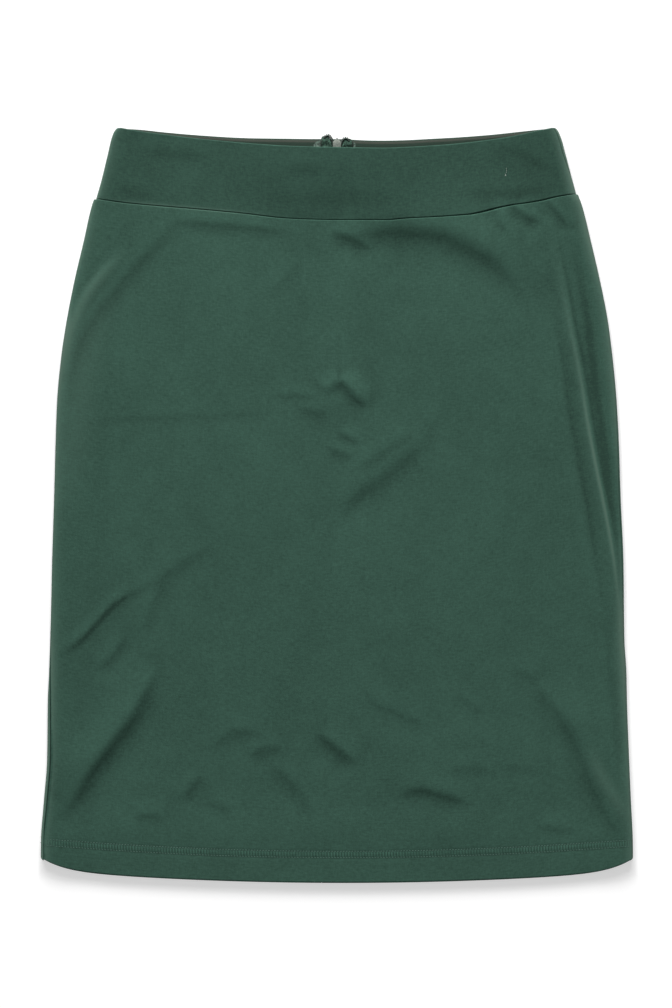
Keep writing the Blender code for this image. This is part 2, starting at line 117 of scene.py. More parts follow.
PANELS = chart(
    "down   left   right  turn_left turn_right",
    (53.0, 193.2, 193.1, 0, 0),
    (61.0, 196.1, 196.1, 0, 0),
    (89.0, 202.6, 203.2, 0, 0),
    (121.0, 210.1, 210.6, 0, 0),
    (153.0, 216.3, 216.9, 0, 0),
    (185.0, 221.1, 221.0, 0, 10),
    (217.0, 224.1, 223.9, 0, 25),
    (249.0, 225.3, 225.7, 0, 42),
    (297.0, 226.6, 227.3, 0, 45),
    (345.0, 228.1, 229.4, 0, 45),
    (409.0, 229.6, 230.2, 15, 20),
    (435.0, 230.5, 231.9, 45, 8),
    (457.0, 231.5, 232.3, 68, 0),
    (505.0, 232.1, 234.0, 80, 0),
    (537.0, 234.6, 235.3, 80, 0),
    (569.0, 236.9, 236.9, 78, 10),
    (582.0, 237.1, 237.1, 82, 10),
)
BANDS = chart(
    "down   left   right  turn_left turn_right",
    (-0.6, 176.1, 175.2, 0, 72),
    (2.4, 178.5, 177.4, 0, 72),
    (21.0, 183.6, 183.2, 0, 66),
    (40.0, 188.2, 188.2, 0, 30),
    (57.0, 193.0, 193.0, 0, 0),
)
EDGES = chart(
    "across front_top back_top front_seam",
    (-1.0, -0.6, -0.6, 56.5),
    (-0.9, 2.0, 0.4, 59.1),
    (-0.8, 4.1, 2.2, 60.9),
    (-0.6, 8.2, 5.1, 64.1),
    (-0.4, 11.5, 7.0, 67.6),
    (-0.2, 14.1, 7.5, 71.8),
    (0.0, 15.3, 8.1, 73.1),
    (0.2, 15.6, 9.0, 73.2),
    (0.3, 14.9, 8.7, 71.8),
    (0.4, 13.8, 7.8, 70.9),
    (0.5, 12.5, 6.9, 69.6),
    (0.55, 11.6, 6.4, 68.8),
    (0.6, 10.7, 5.8, 67.0),
    (0.67, 9.2, 4.9, 63.6),
    (0.74, 7.5, 3.8, 60.9),
    (0.8, 5.8, 2.7, 59.4),
    (0.86, 3.8, 1.6, 57.4),
    (0.93, 1.5, 0.4, 54.5),
    (1.0, -0.6, -0.6, 52.6),
)
BAND_DEPTH = BANDS["down"][-1]
HEM_BOW, HEM_LOWEST = 9.7, 0.02  # the hem's rise towards its ends, and where it is lowest
HEM_CORNER, CORNER_POWER = 8.5, 14  # the rise of its rounded corners, and how late it comes
CORNER_TURN, CORNER_FROM, CORNER_OVER = 2.6, 545.0, 35.0  # the folded edge turns up at the hem
FRONT_HEM_RISE = 0.8  # the back hem shows this far below the front one
SEAM_GAP, SIDE_GAP = 0.36, 0.3
GAP_SHARE, GAP_LEAN = 0.6, 0.4  # how much of the gap is open in the middle, and more to the right
GAP_CLOSED, GAP_POWER = 0.9, 30  # how much of it closes at the two sides, and how late


def y_at(down):
    """The skirt's middle is at y = 0. The same formula turns y back into a distance down."""
    return (LENGTH - CORNER_RISE) / 2 - down


def bow_down(across):
    """A level line near the hem: it rises with the square of the distance from its lowest place."""
    return LENGTH - HEM_BOW * (across - HEM_LOWEST) ** 2


def hem_down(across):
    """The hem's edge, which also turns up in the corners."""
    return bow_down(across) - HEM_CORNER * np.abs(across) ** CORNER_POWER


def half_gap(across):
    """Half a seam's gap: narrower on the left, and nearly closed where the seam turns over the side."""
    closed = GAP_CLOSED * np.abs(across) ** GAP_POWER
    return SEAM_GAP / 2 * (GAP_SHARE + GAP_LEAN * across) * (1 - closed)


def edge_of(name, shift=0):
    """An edge from the table, moved by half a seam's gap: down for a shift of 1, up for -1."""
    return lambda across: follow(EDGES, "across", name, across) + shift * half_gap(across)


def back_seam(across):
    """The back's waist seam: as far below its top edge as the front's is below its own."""
    tops = follow(EDGES, "across", "back_top", across) - follow(EDGES, "across", "front_top", across)
    return follow(EDGES, "across", "front_seam", across) + tops


print(f"outline: {2 * BANDS['left'][1]:.0f} mm at the waist, {2 * PANELS['left'][-1]:.0f} mm at the hem")

# %% [markdown]
# ## How the layers lie
#
# The back lies on the surface, the front on the back. Along the two sides the cloth folds over
# in a soft roll, so the front is a little higher there. In the middle it rides over the zip:
# widely over the slider, which is the thickest thing in a skirt, and narrowly over the coils.

# %% Heights of the front and the back
CLOTH_WALL, BAND_WALL, HEM_WALL = 1.1, 1.6, 1.8
HEM_DEPTH = 28.0
SIDE_REACH = 42.0  # how far in from the outline the soft side edge settles down
LIE = chart(
    "down  edge middle turn_in",
    (0.0, 5.8, 4.0, 3.4),
    (54.0, 5.8, 4.2, 3.4),
    (66.0, 5.3, 4.2, 3.5),
    (110.0, 4.9, 3.7, 3.6),
    (300.0, 4.8, 3.5, 3.6),
    (530.0, 4.9, 3.6, 3.6),
    (568.0, 5.7, 4.3, 3.1),
    (603.0, 5.7, 4.3, 3.0),
)
CENTRE_BACK = chart(
    "down   x",
    (0.0, 0.0),
    (205.0, 0.0),
    (245.0, -9.0),
    (290.0, -18.5),
    (380.0, -19.8),
    (470.0, -19.4),
    (603.0, -12.4),
)
ZIP_RIDGE = chart(
    "down  height width",
    (0.0, 4.8, 58.0),
    (20.0, 4.7, 56.0),
    (45.0, 3.4, 48.0),
    (62.0, 1.7, 38.0),
    (80.0, 1.1, 28.0),
    (100.0, 0.95, 22.0),
    (212.0, 0.95, 20.0),
    (240.0, 0.0, 16.0),
    (603.0, 0.0, 16.0),
)
BACK_LIFT = 1.85  # the pull tab holds the back waistband this far off the surface
LIFT_CORE, LIFT_REACH = 4.5, 24.0  # across: fully lifted to the one, flat from the other
LIFT_FROM, LIFT_TO = 46.0, 62.0  # down: the same
NECK_TOP, NECK_BOTTOM = 9.6, 15.0  # the two ends of the slider's neck, down
NECK_PART, NECK_PART_EASE = 0.95, 6.0  # half the gap that it stands in, and how soon that closes
STITCH_UP = (20.0, 25.0)  # the hem's lower and upper stitching rows, above its edge
STITCH_REACH, STITCH_GROOVE, BACK_GROOVE = 0.9, 0.12, 0.2  # how far and how deep a row pulls in
HEM_PROUD, PROUD_OVER = 0.1, 3.0  # the hem stands proud, over this stretch at the upper row


def stitch_down(across, row):
    """A hem stitching row: it follows the hem's bow, but not its rounded corners."""
    return bow_down(across) - FRONT_HEM_RISE - STITCH_UP[row]


def across_at(x, down):
    """From -1 to 1 across a panel, between the two ends of its middle."""
    turn_in = follow(LIE, "down", "turn_in", down)
    ends = [follow(PANELS, "down", name, down) - turn_in for name in SIDES.values()]
    return np.clip(x / np.where(x < 0, *ends), -1, 1)


def stitch_pull(across, down):
    """How strongly the stitching pulls the cloth in: exp(-(d / reach)^2) at a distance d from a row."""
    rows = [stitch_down(across, row) for row in range(len(STITCH_UP))]
    return sum(np.exp(-(((down - row) / STITCH_REACH) ** 2)) for row in rows)


def stitch_relief(across, down):
    """A groove along each row of stitching, and the turned-up hem a little proud below the upper one."""
    below_upper = down - stitch_down(across, 1)
    proud = HEM_PROUD * ease((below_upper + PROUD_OVER / 2) / PROUD_OVER)
    return proud - STITCH_GROOVE * stitch_pull(across, down)


def lie_height(outline, x, down):
    """How high the front lies, without its creases.

    It has the middle's height, which rises to the edge's over the last part of the way out, and
    the zip's soft ridge on top.
    """
    left, right = (follow(outline, "down", name, down) for name in SIDES.values())
    edge, middle = (follow(LIE, "down", name, down) for name in ("edge", "middle"))
    height = edge + (middle - edge) * ease(np.minimum(x + left, right - x) / SIDE_REACH)
    from_zip = (x - follow(CENTRE_BACK, "down", "x", down)) / follow(ZIP_RIDGE, "down", "width", down)
    return height + follow(ZIP_RIDGE, "down", "height", down) * np.exp(-(from_zip**2))


def back_lift(x, down):
    """The back is flat on the surface, but the pull tab under it lifts the waistband."""
    beside = 1 - ease((np.abs(x) - LIFT_CORE) / (LIFT_REACH - LIFT_CORE))
    return BACK_LIFT * beside * (1 - ease((down - LIFT_FROM) / (LIFT_TO - LIFT_FROM)))


def opening_half(down):
    """Half the gap between the back's two halves: a seam's, and wider at the slider's neck."""
    middle, half_length = (NECK_TOP + NECK_BOTTOM) / 2, (NECK_BOTTOM - NECK_TOP) / 2
    apart = 1 - ease((np.abs(down - middle) - half_length - 2 * SEAM_GAP) / NECK_PART_EASE)
    return SEAM_GAP / 2 + (NECK_PART - SEAM_GAP / 2) * apart


highest = LIE["middle"].max() + ZIP_RIDGE["height"].max()
print(f"front lies {LIE['middle'].min():.1f} to {highest:.1f} mm high")

# %% [markdown]
# ## Creases
#
# Jersey that has been folded and laid out again keeps soft creases. Most of them are little
# steps: the cloth drops along a line, and lies level again on both sides a good way off. The face
# of that drop looks towards the hem, away from the window, which is why a crease reads as a dark
# stroke with hardly any light beside it. Where the cloth stands up as a real ridge, along the
# right hip, it has a lit side too. Painted shade also darkens the hollows, and painted highlights
# run along some crests.
#
# Noise would give a rumpled look everywhere at once. A table gives each crease its own length,
# depth and place, as uneven as real ones are. A line that is listed from left to right has its
# high side towards the waist, and one that is listed upwards has it on the left.

# %% Steps and ridges along a line
Step = namedtuple("Step", "width drop reach points low", defaults=(None,))
# a ridge's fourth number paints its colour along its bell: a highlight above 0, shade below 0
Ridge = namedtuple("Ridge", "over under height rubbed points")
FADE = 0.36  # share of a line's length over which each of its ends dies away
END_WIDTH = 0.5  # a step's width at its ends, as a share of its width in the middle
LINE_STEPS = 14
DEEPEST = 1.15  # how far a step goes below the level around it at most, unless its row says
BELL_END = 2.6  # a bell curve counts as ended at this many times its reach


def line_through(points):
    """A smooth curve through a few points, followed by the share of its length."""
    points = np.array(points, float)
    run = np.concatenate([[0], np.cumsum(np.linalg.norm(np.diff(points, axis=0), axis=1))])
    table = {"run": run / run[-1], "x": points[:, 0], "down": points[:, 1]}
    at = np.linspace(0, 1, LINE_STEPS + 1)
    return np.stack([follow(table, "run", name, at) for name in ("x", "down")], axis=-1)


def from_line(crease, reach, x, down):
    """Which places are near a crease, their distance from its line, and how much of it is left there.

    The distance is positive on the low side. What is left dies away towards both ends of the line.
    """
    line = line_through(crease.points)
    x, down = np.broadcast_arrays(x, down)
    low, high = line.min(0) - reach, line.max(0) + reach
    near = (x > low[0]) & (x < high[0]) & (down > low[1]) & (down < high[1])
    place = np.stack([x[near], down[near]], axis=-1)
    nearest = np.full(len(place), np.inf)
    along, side = np.zeros_like(nearest), np.zeros_like(nearest)
    for i, (a, b) in enumerate(zip(line[:-1], line[1:])):
        run = b - a
        offset = place - a
        t = np.clip(offset @ run / (run @ run), 0, 1)
        distance = np.linalg.norm(offset - t[:, None] * run, axis=1)
        closer = distance < nearest
        nearest = np.where(closer, distance, nearest)
        along = np.where(closer, (i + t) / LINE_STEPS, along)
        side = np.where(closer, run[0] * offset[:, 1] - run[1] * offset[:, 0], side)
    fade = ease(along / FADE) * ease((1 - along) / FADE)
    return near, np.copysign(nearest, side), fade


def below(step):
    """How much of a drop is below the level around it: half, if the layers under it leave room."""
    return min(step.drop / 2, DEEPEST) if step.low is None else step.low


def step_height(step, x, down):
    """A drop across a line, level again at some reach on both sides.

    It is the drop times a smooth step, 1/2 - u / (2 sqrt(1 + u^2)) with u = distance / width, less
    the part that is below the level around it, all in a bell curve of the distance.
    """
    near, distance, fade = from_line(step, BELL_END * step.reach, x, down)
    u = distance / (step.width * (END_WIDTH + (1 - END_WIDTH) * fade))
    fall = step.drop * (0.5 - u / (2 * np.sqrt(1 + u * u))) - below(step)
    height = np.zeros(near.shape)
    height[near] = fade * fall * np.exp(-((distance / step.reach) ** 2))
    return height


def ridge_bell(ridge, x, down):
    """exp(-(d / reach)^2) of the distance d, with its own reach on each side of the line."""
    near, distance, fade = from_line(ridge, BELL_END * max(ridge.over, ridge.under), x, down)
    bell = np.zeros(near.shape)
    bell[near] = fade * np.exp(-((distance / np.where(distance > 0, ridge.under, ridge.over)) ** 2))
    return bell


print(f"lines: each is followed in {LINE_STEPS} straight stretches")

# %% The creases of the front, from waist to hem
LEFT_THIGH = ((-228, 426), (-205, 410), (-198, 403), (-190, 394), (-182, 385), (-172, 376.5), (-154, 366))
FRONT_STEPS = (
    # the waistband
    Step(5, 0.7, 16, ((-164, 15), (-128, 18), (-92, 22))),
    Step(5, 0.8, 16, ((120, 11), (150, 20), (180, 36))),
    Step(4, 0.6, 14, ((90, 50), (136, 50), (184, 42))),
    Step(4, 0.7, 12, ((-44, 34), (-26, 31), (-8, 34))),
    Step(4, 0.5, 12, ((-182, 44), (-166, 47), (-144, 55))),
    # under the waist seam
    Step(2.2, 0.8, 14, ((-146, 74), (-109, 75.5), (-77, 78), (-28, 84))),
    Step(2.6, 1.4, 14, ((-7, 81), (13, 89), (31, 98))),
    Step(7.6, 4.2, 42, (
        (-6, 87), (14, 86), (34, 82), (52, 81), (72, 83), (86, 85), (100, 91.5), (116, 99.5),
        (129, 108), (158, 142),
    )),
    Step(2.2, 0.7, 14, ((121, 57), (129, 70), (134, 78), (142, 91)), low=0.25),
    Step(2.6, 1.5, 12, ((139, 60), (151, 70), (164, 75))),
    Step(2.4, 1.2, 10, ((166, 55), (178, 69), (188, 82))),
    # the left hip
    Step(3.4, 1.2, 20, (
        (-220, 244), (-213.5, 191), (-207.5, 173), (-195, 150), (-182, 134), (-165, 113), (-132, 78),
        (-121, 64),
    )),
    Step(4, 0.35, 14, ((-62, 140), (-47, 123), (-26, 102))),
    # down the right side
    Step(3.4, 1.5, 14, (
        (213, 395), (205, 338), (200, 306), (195.5, 282), (191, 258), (185, 223), (179, 185),
        (170, 140),
    )),
    Step(4, 1.1, 12, ((225, 540), (220, 473), (217, 441), (212, 385))),
    # the middle, below the zip
    Step(2.0, 1.0, 10, ((-10, 213), (-2, 206), (6, 201)), low=0.1),
    Step(2.2, 1.8, 14, ((-1.4, 195.4), (9.7, 209), (16.2, 216.4), (27.6, 223.4)), low=0.5),
    Step(1.8, 0.4, 10, ((-54, 212), (-34, 213), (-12, 215))),
    Step(2.0, 0.5, 10, ((-34, 222), (-19, 226), (-3, 229))),
    Step(1.8, 0.75, 10, ((-1, 242), (8, 246.5), (19, 253))),
    Step(2.4, 0.8, 10, ((-8, 255), (3, 259), (14, 264))),
    Step(3.4, 0.7, 16, ((10, 276), (30, 263), (42, 255), (52, 248), (64, 240))),
    Step(3.4, 0.35, 14, ((60, 256), (74, 238), (86, 220))),
    Step(5.6, 1.6, 24, ((-3, 322), (9, 300), (19, 290), (37, 278), (49, 268), (60, 258), (79, 244))),
    Step(1.5, 0.22, 10, ((-224, 234), (-165, 231), (-109, 229), (-26, 225))),
    # the left thigh
    Step(1.2, 0.8, 10, LEFT_THIGH, low=0.1),
    Step(2.8, 0.6, 16, ((-176, 378), (-155, 367), (-142, 360), (-128, 350), (-98, 330))),
    Step(4.0, 0.9, 16, ((-158, 412), (-151, 386), (-146, 375), (-136, 356))),
    Step(2.2, 0.8, 10, ((-194, 435), (-181, 422), (-168, 404))),
    # above the hem
    Step(4.0, 3.6, 28, (
        (-228, 557), (-213, 541), (-194, 511), (-175, 487), (-164, 472), (-156, 456), (-149, 442),
        (-140, 428),
    ), low=0.9),
    Step(2.0, 0.5, 10, ((-166, 551), (-150, 549), (-136, 551))),
    Step(2.4, 0.8, 12, ((-127, 540), (-118, 528), (-108, 514))),
    Step(3.0, 0.6, 16, ((-106, 500), (-91, 487), (-80, 482), (-69, 482), (-52, 489))),
    Step(3.2, 0.8, 12, ((-74, 502), (-58, 497), (-42, 494))),
    Step(4.0, 0.7, 16, ((-56, 505), (-36, 522), (-14, 554))),
    Step(3.0, 0.45, 12, ((-106, 537), (-93, 542), (-80, 545))),
    Step(2.8, 1.6, 18, ((-17, 481), (-7, 490), (-1, 495), (7, 502), (19, 511))),
    Step(2.4, 0.45, 14, ((18, 442), (33, 460), (47, 466.5), (63, 473), (82, 480))),
    Step(2.4, 0.35, 12, ((94, 450), (108, 460), (121, 469))),
    Step(3.0, 0.35, 12, ((138, 430), (152, 437), (167, 440))),
    Step(3.0, 0.4, 14, ((80, 521), (96, 512), (110, 511), (133, 519))),
    Step(3.0, 0.3, 12, ((126, 510), (148, 511), (171, 515))),
    Step(3.2, 1.4, 18, ((44, 537), (56, 530.5), (68, 529), (80, 532), (93, 535.5), (112, 541))),
    Step(6.0, 3.4, 30, (
        (157, 440), (170, 457), (178.4, 468.5), (192, 490.5), (201, 514.5), (211, 538.5), (233, 577.5),
    ), low=1.0),
    Step(2.5, 0.5, 12, ((157, 555), (176, 560), (195, 562))),
)
FRONT_RIDGES = (
    # one down the right side, steep on its right, between two hollows, with a painted highlight
    # on its crest and painted shade in the hollows
    Ridge(2.2, 7, 1.7, 0.1, (
        (165, 56), (175.5, 97), (182, 125), (189, 163), (197, 201), (203, 239), (210.5, 279),
        (219.5, 324), (224.5, 367), (227, 410),
    )),
    Ridge(1.0, 1.6, 0, 0.45, (
        (173, 98), (180.5, 128), (187.5, 163), (195.2, 201), (201.2, 239), (209, 279), (218, 324),
        (223.3, 362), (226.5, 410),
    )),
    Ridge(0.9, 1.2, 0, 0.42, (
        (193, 190), (201.2, 239), (209, 279), (218, 324), (222, 348), (224.5, 370), (227, 405),
    )),
    Ridge(5, 5, -1.1, -0.5, (
        (184, 75), (195, 120), (201, 157), (208.5, 217), (215, 261), (221, 310), (226, 350),
    )),
    Ridge(4, 4, -0.3, -0.3, (
        (176, 170), (181, 197), (185, 223), (191, 258), (195.5, 282), (200, 306), (205, 338),
        (213, 395),
    )),
    # one on the left hip, with a painted highlight on it and beside it
    Ridge(4, 4, 0.7, 0.35, ((-217, 200), (-214, 168), (-203.5, 139), (-193, 123), (-166, 92))),
    # a fine groove with painted shade, the front hem's painted shadow on the back's, and stretches
    # that are only painted lighter or darker
    Ridge(1.8, 1.8, -0.3, -0.75, LEFT_THIGH),
    Ridge(0.7, 0.7, 0, -1.4, ((-234, 585.6), (-222, 590.2), (-200, 594.8), (-170, 597.5))),
    Ridge(5, 5, 0.2, 0.25, ((200, 490), (212, 519), (220, 531), (227, 543), (236, 562))),
    Ridge(1.5, 1.5, 0, 0.38, ((-200, 56), (-150, 60.5), (-100, 65), (-40, 71))),
    Ridge(26, 26, 0, -0.16, ((60, 26), (120, 28), (190, 30))),
    Ridge(24, 24, 0, -0.12, ((-60, 556), (60, 562), (190, 556))),
    Ridge(14, 14, 0, 0.14, ((-226, 330), (-212, 250), (-203, 180), (-186, 140), (-160, 110))),
)


def front_height(outline, x, down):
    """Height of the front's outer face: how it lies, plus every crease and the sewn hem's relief."""
    height = lie_height(outline, x, down)
    for step in FRONT_STEPS:
        height = height + step_height(step, x, down)
    for ridge in FRONT_RIDGES:
        height = height + ridge.height * ridge_bell(ridge, x, down)
    return height + stitch_relief(across_at(x, down), down)


deepest = max(step.drop for step in FRONT_STEPS)
print(f"front: {len(FRONT_STEPS)} steps up to {deepest:.1f} mm, {len(FRONT_RIDGES)} ridges or rubbed lines")

# %% Painted sheen, highlights and shade on the cloth
# painted sheen along each folded side, by how far down
SIDE_SHEEN = chart(
    "down   left right",
    (0.0, 0.45, 1.2),
    (89.0, 0.6, 1.3),
    (137.0, 0.2, 0.6),
    (169.0, 1.0, 0.8),
    (233.0, 0.5, 0.7),
    (313.0, 0.4, 0.2),
    (361.0, 0.4, 0.5),
    (400.0, 0.6, 1.4),
    (430.0, 1.1, 1.4),
    (465.0, 1.3, 0.7),
    (530.0, 1.2, 0.5),
    (603.0, 1.2, 0.8),
)
SHEEN_REACH, SHEEN_POWER = 4.5, 1.5
SHADE_LEFT, SHADE_FOOT, SHADE_RIGHT = 2.4, 1.0, 0.5
SHADE_OVER = 30.0  # the left seam's shade fades over this length, from where the hem's corner turns


def rubbed(x, down):
    """Painted highlights and shade: each ridge's share on the same bells, lighter above 0, darker below."""
    return sum(ridge.rubbed * ridge_bell(ridge, x, down) for ridge in FRONT_RIDGES)


def side_sheen(x, down):
    """Painted sheen along the folded sides, by exp(-(d / reach)^1.5) of the distance d from the outline."""
    total = 0
    for side, name in SIDES.items():
        band, panel = (follow(outline, "down", name, down) for outline in (BANDS, PANELS))
        inward = np.maximum(np.where(down < BAND_DEPTH, band, panel) - side * x, 0)
        pale = np.exp(-((inward / SHEEN_REACH) ** SHEEN_POWER))
        total = total + follow(SIDE_SHEEN, "down", name, down) * pale
    return total


def seam_shade(x, down):
    """A side seam that has rolled into sight is a dark line: strong on the left, but less at its foot."""
    left = SHADE_LEFT - (SHADE_LEFT - SHADE_FOOT) * ease((down - CORNER_FROM) / SHADE_OVER)
    return np.where(x < 0, left, SHADE_RIGHT)


for name in SIDES.values():
    print(f"{name} side: rubbed pale by up to {SIDE_SHEEN[name].max():.1f}")

# %% [markdown]
# ## Faces of the cloth
#
# A face is a grid: rows run across the skirt, columns run down it. The middle columns are set by
# a share of the width, and stand at the cloth's height. Each folded side is a quarter of an
# ellipse, from the side seam over to the top, and its columns are set by a share of that turn.
# Front and back meet at the seam because both read the same ellipse, one turning up from it and
# one turning down.

# %% Grids for the front and the back
UP, DOWN = np.array([0.0, 0.0, 1.0]), np.array([0.0, 0.0, -1.0])


def grid(x, down, z, out):
    """Three broadcast arrays as points, in millimetres, with the way that each faces."""
    points = np.stack(np.broadcast_arrays(x, y_at(down), z), axis=-1)
    return points, np.broadcast_to(out, points.shape)


def folded_edge(outline, side, face, shares, down):
    """A quarter of an ellipse, from the side seam (share 0) to the end of the fold (share 1).

    x goes in by 1 - cos of the turn, and z goes up by 1 + sin of it. At the hem the edge also
    turns up, by 1 - |sin|. Share 0 faces as the seam does, so that both its sides are parallel.
    `face` is 1 for the front, which turns up from the seam, and -1 for the back, which turns down.
    """
    name = SIDES[side]
    turn_in = follow(LIE, "down", "turn_in", down)
    outer = follow(outline, "down", name, down)
    half_height = front_height(outline, side * (outer - turn_in), down) / 2
    seam = np.radians(follow(outline, "down", "turn_" + name, down))
    arc_per_turn = np.hypot(turn_in * np.sin(seam), half_height * np.cos(seam))
    first = seam + face * (SIDE_GAP / 2) / arc_per_turn
    turn = first + (face * math.pi / 2 - first) * shares
    x = side * (outer - turn_in * (1 - np.cos(turn)))
    z = half_height * (1 + np.sin(turn))
    down = down - CORNER_TURN * ease((down - CORNER_FROM) / CORNER_OVER) * (1 - np.abs(np.sin(turn)))
    facing = np.where(shares > 0, turn, seam)
    out = np.stack([side * np.cos(facing) / turn_in, 0 * facing, np.sin(facing) / half_height], axis=-1)
    return grid(x, down, z, out / np.linalg.norm(out, axis=-1, keepdims=True))


def side_by_side(*blocks):
    """Blocks of a grid made one, from left to right: their points, and the ways that they face."""
    return tuple(np.concatenate(part, axis=1) for part in zip(*blocks))


def front_face(outline, shares, places, rows, top, bottom):
    """The front's outer face: left fold, middle, right fold. Places run from 0 to 1 across the middle."""
    rows = rows[:, None]
    edges = {}
    for side in SIDES:
        down = top(side) + (bottom(side) - top(side)) * rows
        turned = shares if side < 0 else shares[::-1]
        edges[side] = folded_edge(outline, side, 1, turned[None, :], down)
    t = places[None, 1:-1]
    down = top(2 * t - 1) + (bottom(2 * t - 1) - top(2 * t - 1)) * rows
    turn_in = follow(LIE, "down", "turn_in", down)
    low = turn_in - follow(outline, "down", "left", down)
    high = follow(outline, "down", "right", down) - turn_in
    x = low + (high - low) * t
    return side_by_side(edges[-1], grid(x, down, front_height(outline, x, down), UP), edges[1])


def back_face(outline, side, shares, places, rows, top, bottom, height):
    """One half of the back's outer face, from its side seam to the centre back, left to right."""
    rows = rows[:, None]
    down = top(side) + (bottom(side) - top(side)) * rows
    edge = folded_edge(outline, side, -1, shares[None, :], down)
    name = SIDES[side]
    t = places[None, 1:]
    across = side * (1 - t)
    # how far the centre seam has wandered at the hem, as a share of the half width
    lean = follow(CENTRE_BACK, "down", "x", outline["down"][-1]) / outline["left"][-1]
    down = top(across) + (bottom(across + t * lean) - top(across)) * rows
    start = side * (follow(outline, "down", name, down) - follow(LIE, "down", "turn_in", down))
    centre = follow(CENTRE_BACK, "down", "x", down) + side * opening_half(down)
    x = start + (centre - start) * t
    points, out = side_by_side(edge, grid(x, down, height(x, down), DOWN))
    return (points, out) if side < 0 else (points[:, ::-1], out[:, ::-1])


print(f"side folds: {LIE['turn_in'].min():.1f} to {LIE['turn_in'].max():.1f} mm wide")

# %% Where rows and columns go
ROUNDING = np.array([0, 0.02, 0.08, 0.19, 0.36, 0.6, 0.9, 1.3, 1.9])  # in from a border
TURNS = np.array([0, 0.012, 0.04, 0.09, 0.16, 0.25, 0.36, 0.48, 0.61, 0.74, 0.87, 1])  # round a fold


def rows_down(length, step, close=()):
    """Shares from 0 to 1 down a length, closer at its rounded ends and in the listed stretches."""
    middle = np.arange(ROUNDING[-1] + step, length - ROUNDING[-1], step)
    for start, end, finer in close:
        middle = np.concatenate([middle[(middle < start) | (middle > end)], np.arange(start, end, finer)])
    return np.sort(np.concatenate([ROUNDING, middle, length - ROUNDING])) / length


PANEL_LENGTH = LENGTH - follow(EDGES, "across", "front_seam", 0.0)
SEWN_FROM, SEWN_TO = PANEL_LENGTH - 30.5, PANEL_LENGTH - 18.5  # where the hem is sewn
panel_rows = rows_down(PANEL_LENGTH, 1.9, [(SEWN_FROM, SEWN_TO, 0.8)])
back_rows = rows_down(PANEL_LENGTH, 3.2, [(SEWN_FROM, SEWN_TO, 1.0)])
band_rows = rows_down(BAND_DEPTH, 1.7)
print(f"rows: front {len(panel_rows)}, back {len(back_rows)}, waistband {len(band_rows)}")

# %% [markdown]
# ## From a face to a piece of cloth
#
# Cloth has a thickness, and its cut or folded edges are round. So a wall is made of the outer
# face, a coarser inner face the cloth's thickness behind it, and a narrow strip all round that
# joins them. Near the edges both faces bend towards the middle of the cloth along a quarter
# circle. That rounding is what makes a seam read as a soft groove, and an edge catch the light.
#
# Solidify would give an even thickness too, but it works from each corner's own normal. On two
# panels that meet at a seam those normals differ, and the walls would run into each other.

# %% Grids into walls
STRIDE = 4  # rows and columns of the outer side for each one of the inner side
EDGE_ROUND = 0.46  # radius of a wall's edges, as a share of its thickness
WALL_CRISP, TUBE_CRISP = 65, 70  # edges that turn by more degrees than this look sharp


def new_piece(name, places, faces, crisp, finishes):
    """An object from places in millimetres: smooth, but for edges that turn by more than an angle."""
    mesh = bpy.data.meshes.new(name)
    mesh.from_pydata((places * MM).tolist(), [], faces)
    mesh.shade_smooth()
    mesh.set_sharp_from_angle(angle=math.radians(crisp))
    for finish in finishes:
        mesh.materials.append(finish)
    piece = bpy.data.objects.new(name, mesh)
    bpy.context.scene.collection.objects.link(piece)
    return piece


def lengths_along(points, axis):
    """Distance from the first row or column, added up step by step."""
    steps = np.linalg.norm(np.diff(points, axis=axis), axis=-1)
    start = np.zeros_like(np.take(steps, [0], axis=axis))
    return np.cumsum(np.concatenate([start, steps], axis=axis), axis=axis)


def sampled(count):
    """Every few rows or columns of a face, always with the last, for its coarser inner side."""
    picked = list(range(0, count - 1, STRIDE))
    return np.array(picked + [count - 1])


def rim_faces(outer_lines, inner_lines, picked):
    """Between two picked places: all the outer corners there, and the two inner ones."""
    return [
        [*outer_lines[a : b + 1], inner_lines[k + 1], inner_lines[k]]
        for k, (a, b) in enumerate(zip(picked[:-1], picked[1:]))
    ]


def rounded(points, out, border, thickness):
    """A wall's two sides, both bent in within a radius r of its border.

    At a distance d from the border the outer side goes in by r - sqrt(r^2 - (r - d)^2), and the
    inner side comes out by as much.
    """
    radius = EDGE_ROUND * thickness
    short = np.clip(radius - border, 0, radius)
    tuck = (radius - np.sqrt(radius**2 - short**2))[..., None]
    return points - out * tuck, points - out * (thickness[..., None] - tuck)


def cells(index):
    """The four corners of every cell in a grid of corner numbers."""
    corners = [index[:-1, :-1], index[1:, :-1], index[1:, 1:], index[:-1, 1:]]
    return np.stack(corners, axis=-1).reshape(-1, 4)


def wall_faces(picked_rows, picked_columns):
    """Faces of the outer side, of the coarser inner side, and of the strip all round that joins them."""
    rows, columns = picked_rows[-1] + 1, picked_columns[-1] + 1
    index = np.arange(rows * columns).reshape(rows, columns)
    inner = len(picked_rows), len(picked_columns)
    behind = index.size + np.arange(inner[0] * inner[1]).reshape(inner)
    rim = rim_faces(index[0], behind[0], picked_columns)
    rim += [face[::-1] for face in rim_faces(index[-1], behind[-1], picked_columns)]
    rim += [face[::-1] for face in rim_faces(index[:, 0], behind[:, 0], picked_rows)]
    rim += rim_faces(index[:, -1], behind[:, -1], picked_rows)
    return cells(index).tolist(), cells(behind)[:, ::-1].tolist(), rim


print(f"walls: edges rounded to {EDGE_ROUND:.0%} of their thickness")

# %% What a finish can read from a place
BORDER_REACH = 0.8  # how far in from a border the edge mark reaches
RIM_SHEEN, RIM_POWER = 0.9, 0.6  # strength of painted sheen on rounded edges, and how soon it comes
SHADE_REACH = 0.5  # how far in from a side seam its shade goes
RELIEF_ROUNDS, RELIEF_HALF = 13, 0.42  # rounds of averaging, and the height that counts as half
RELIEF_ON_RIDGE = 0.4  # painted highlight on a ridge is weaker than painted shade in a hollow
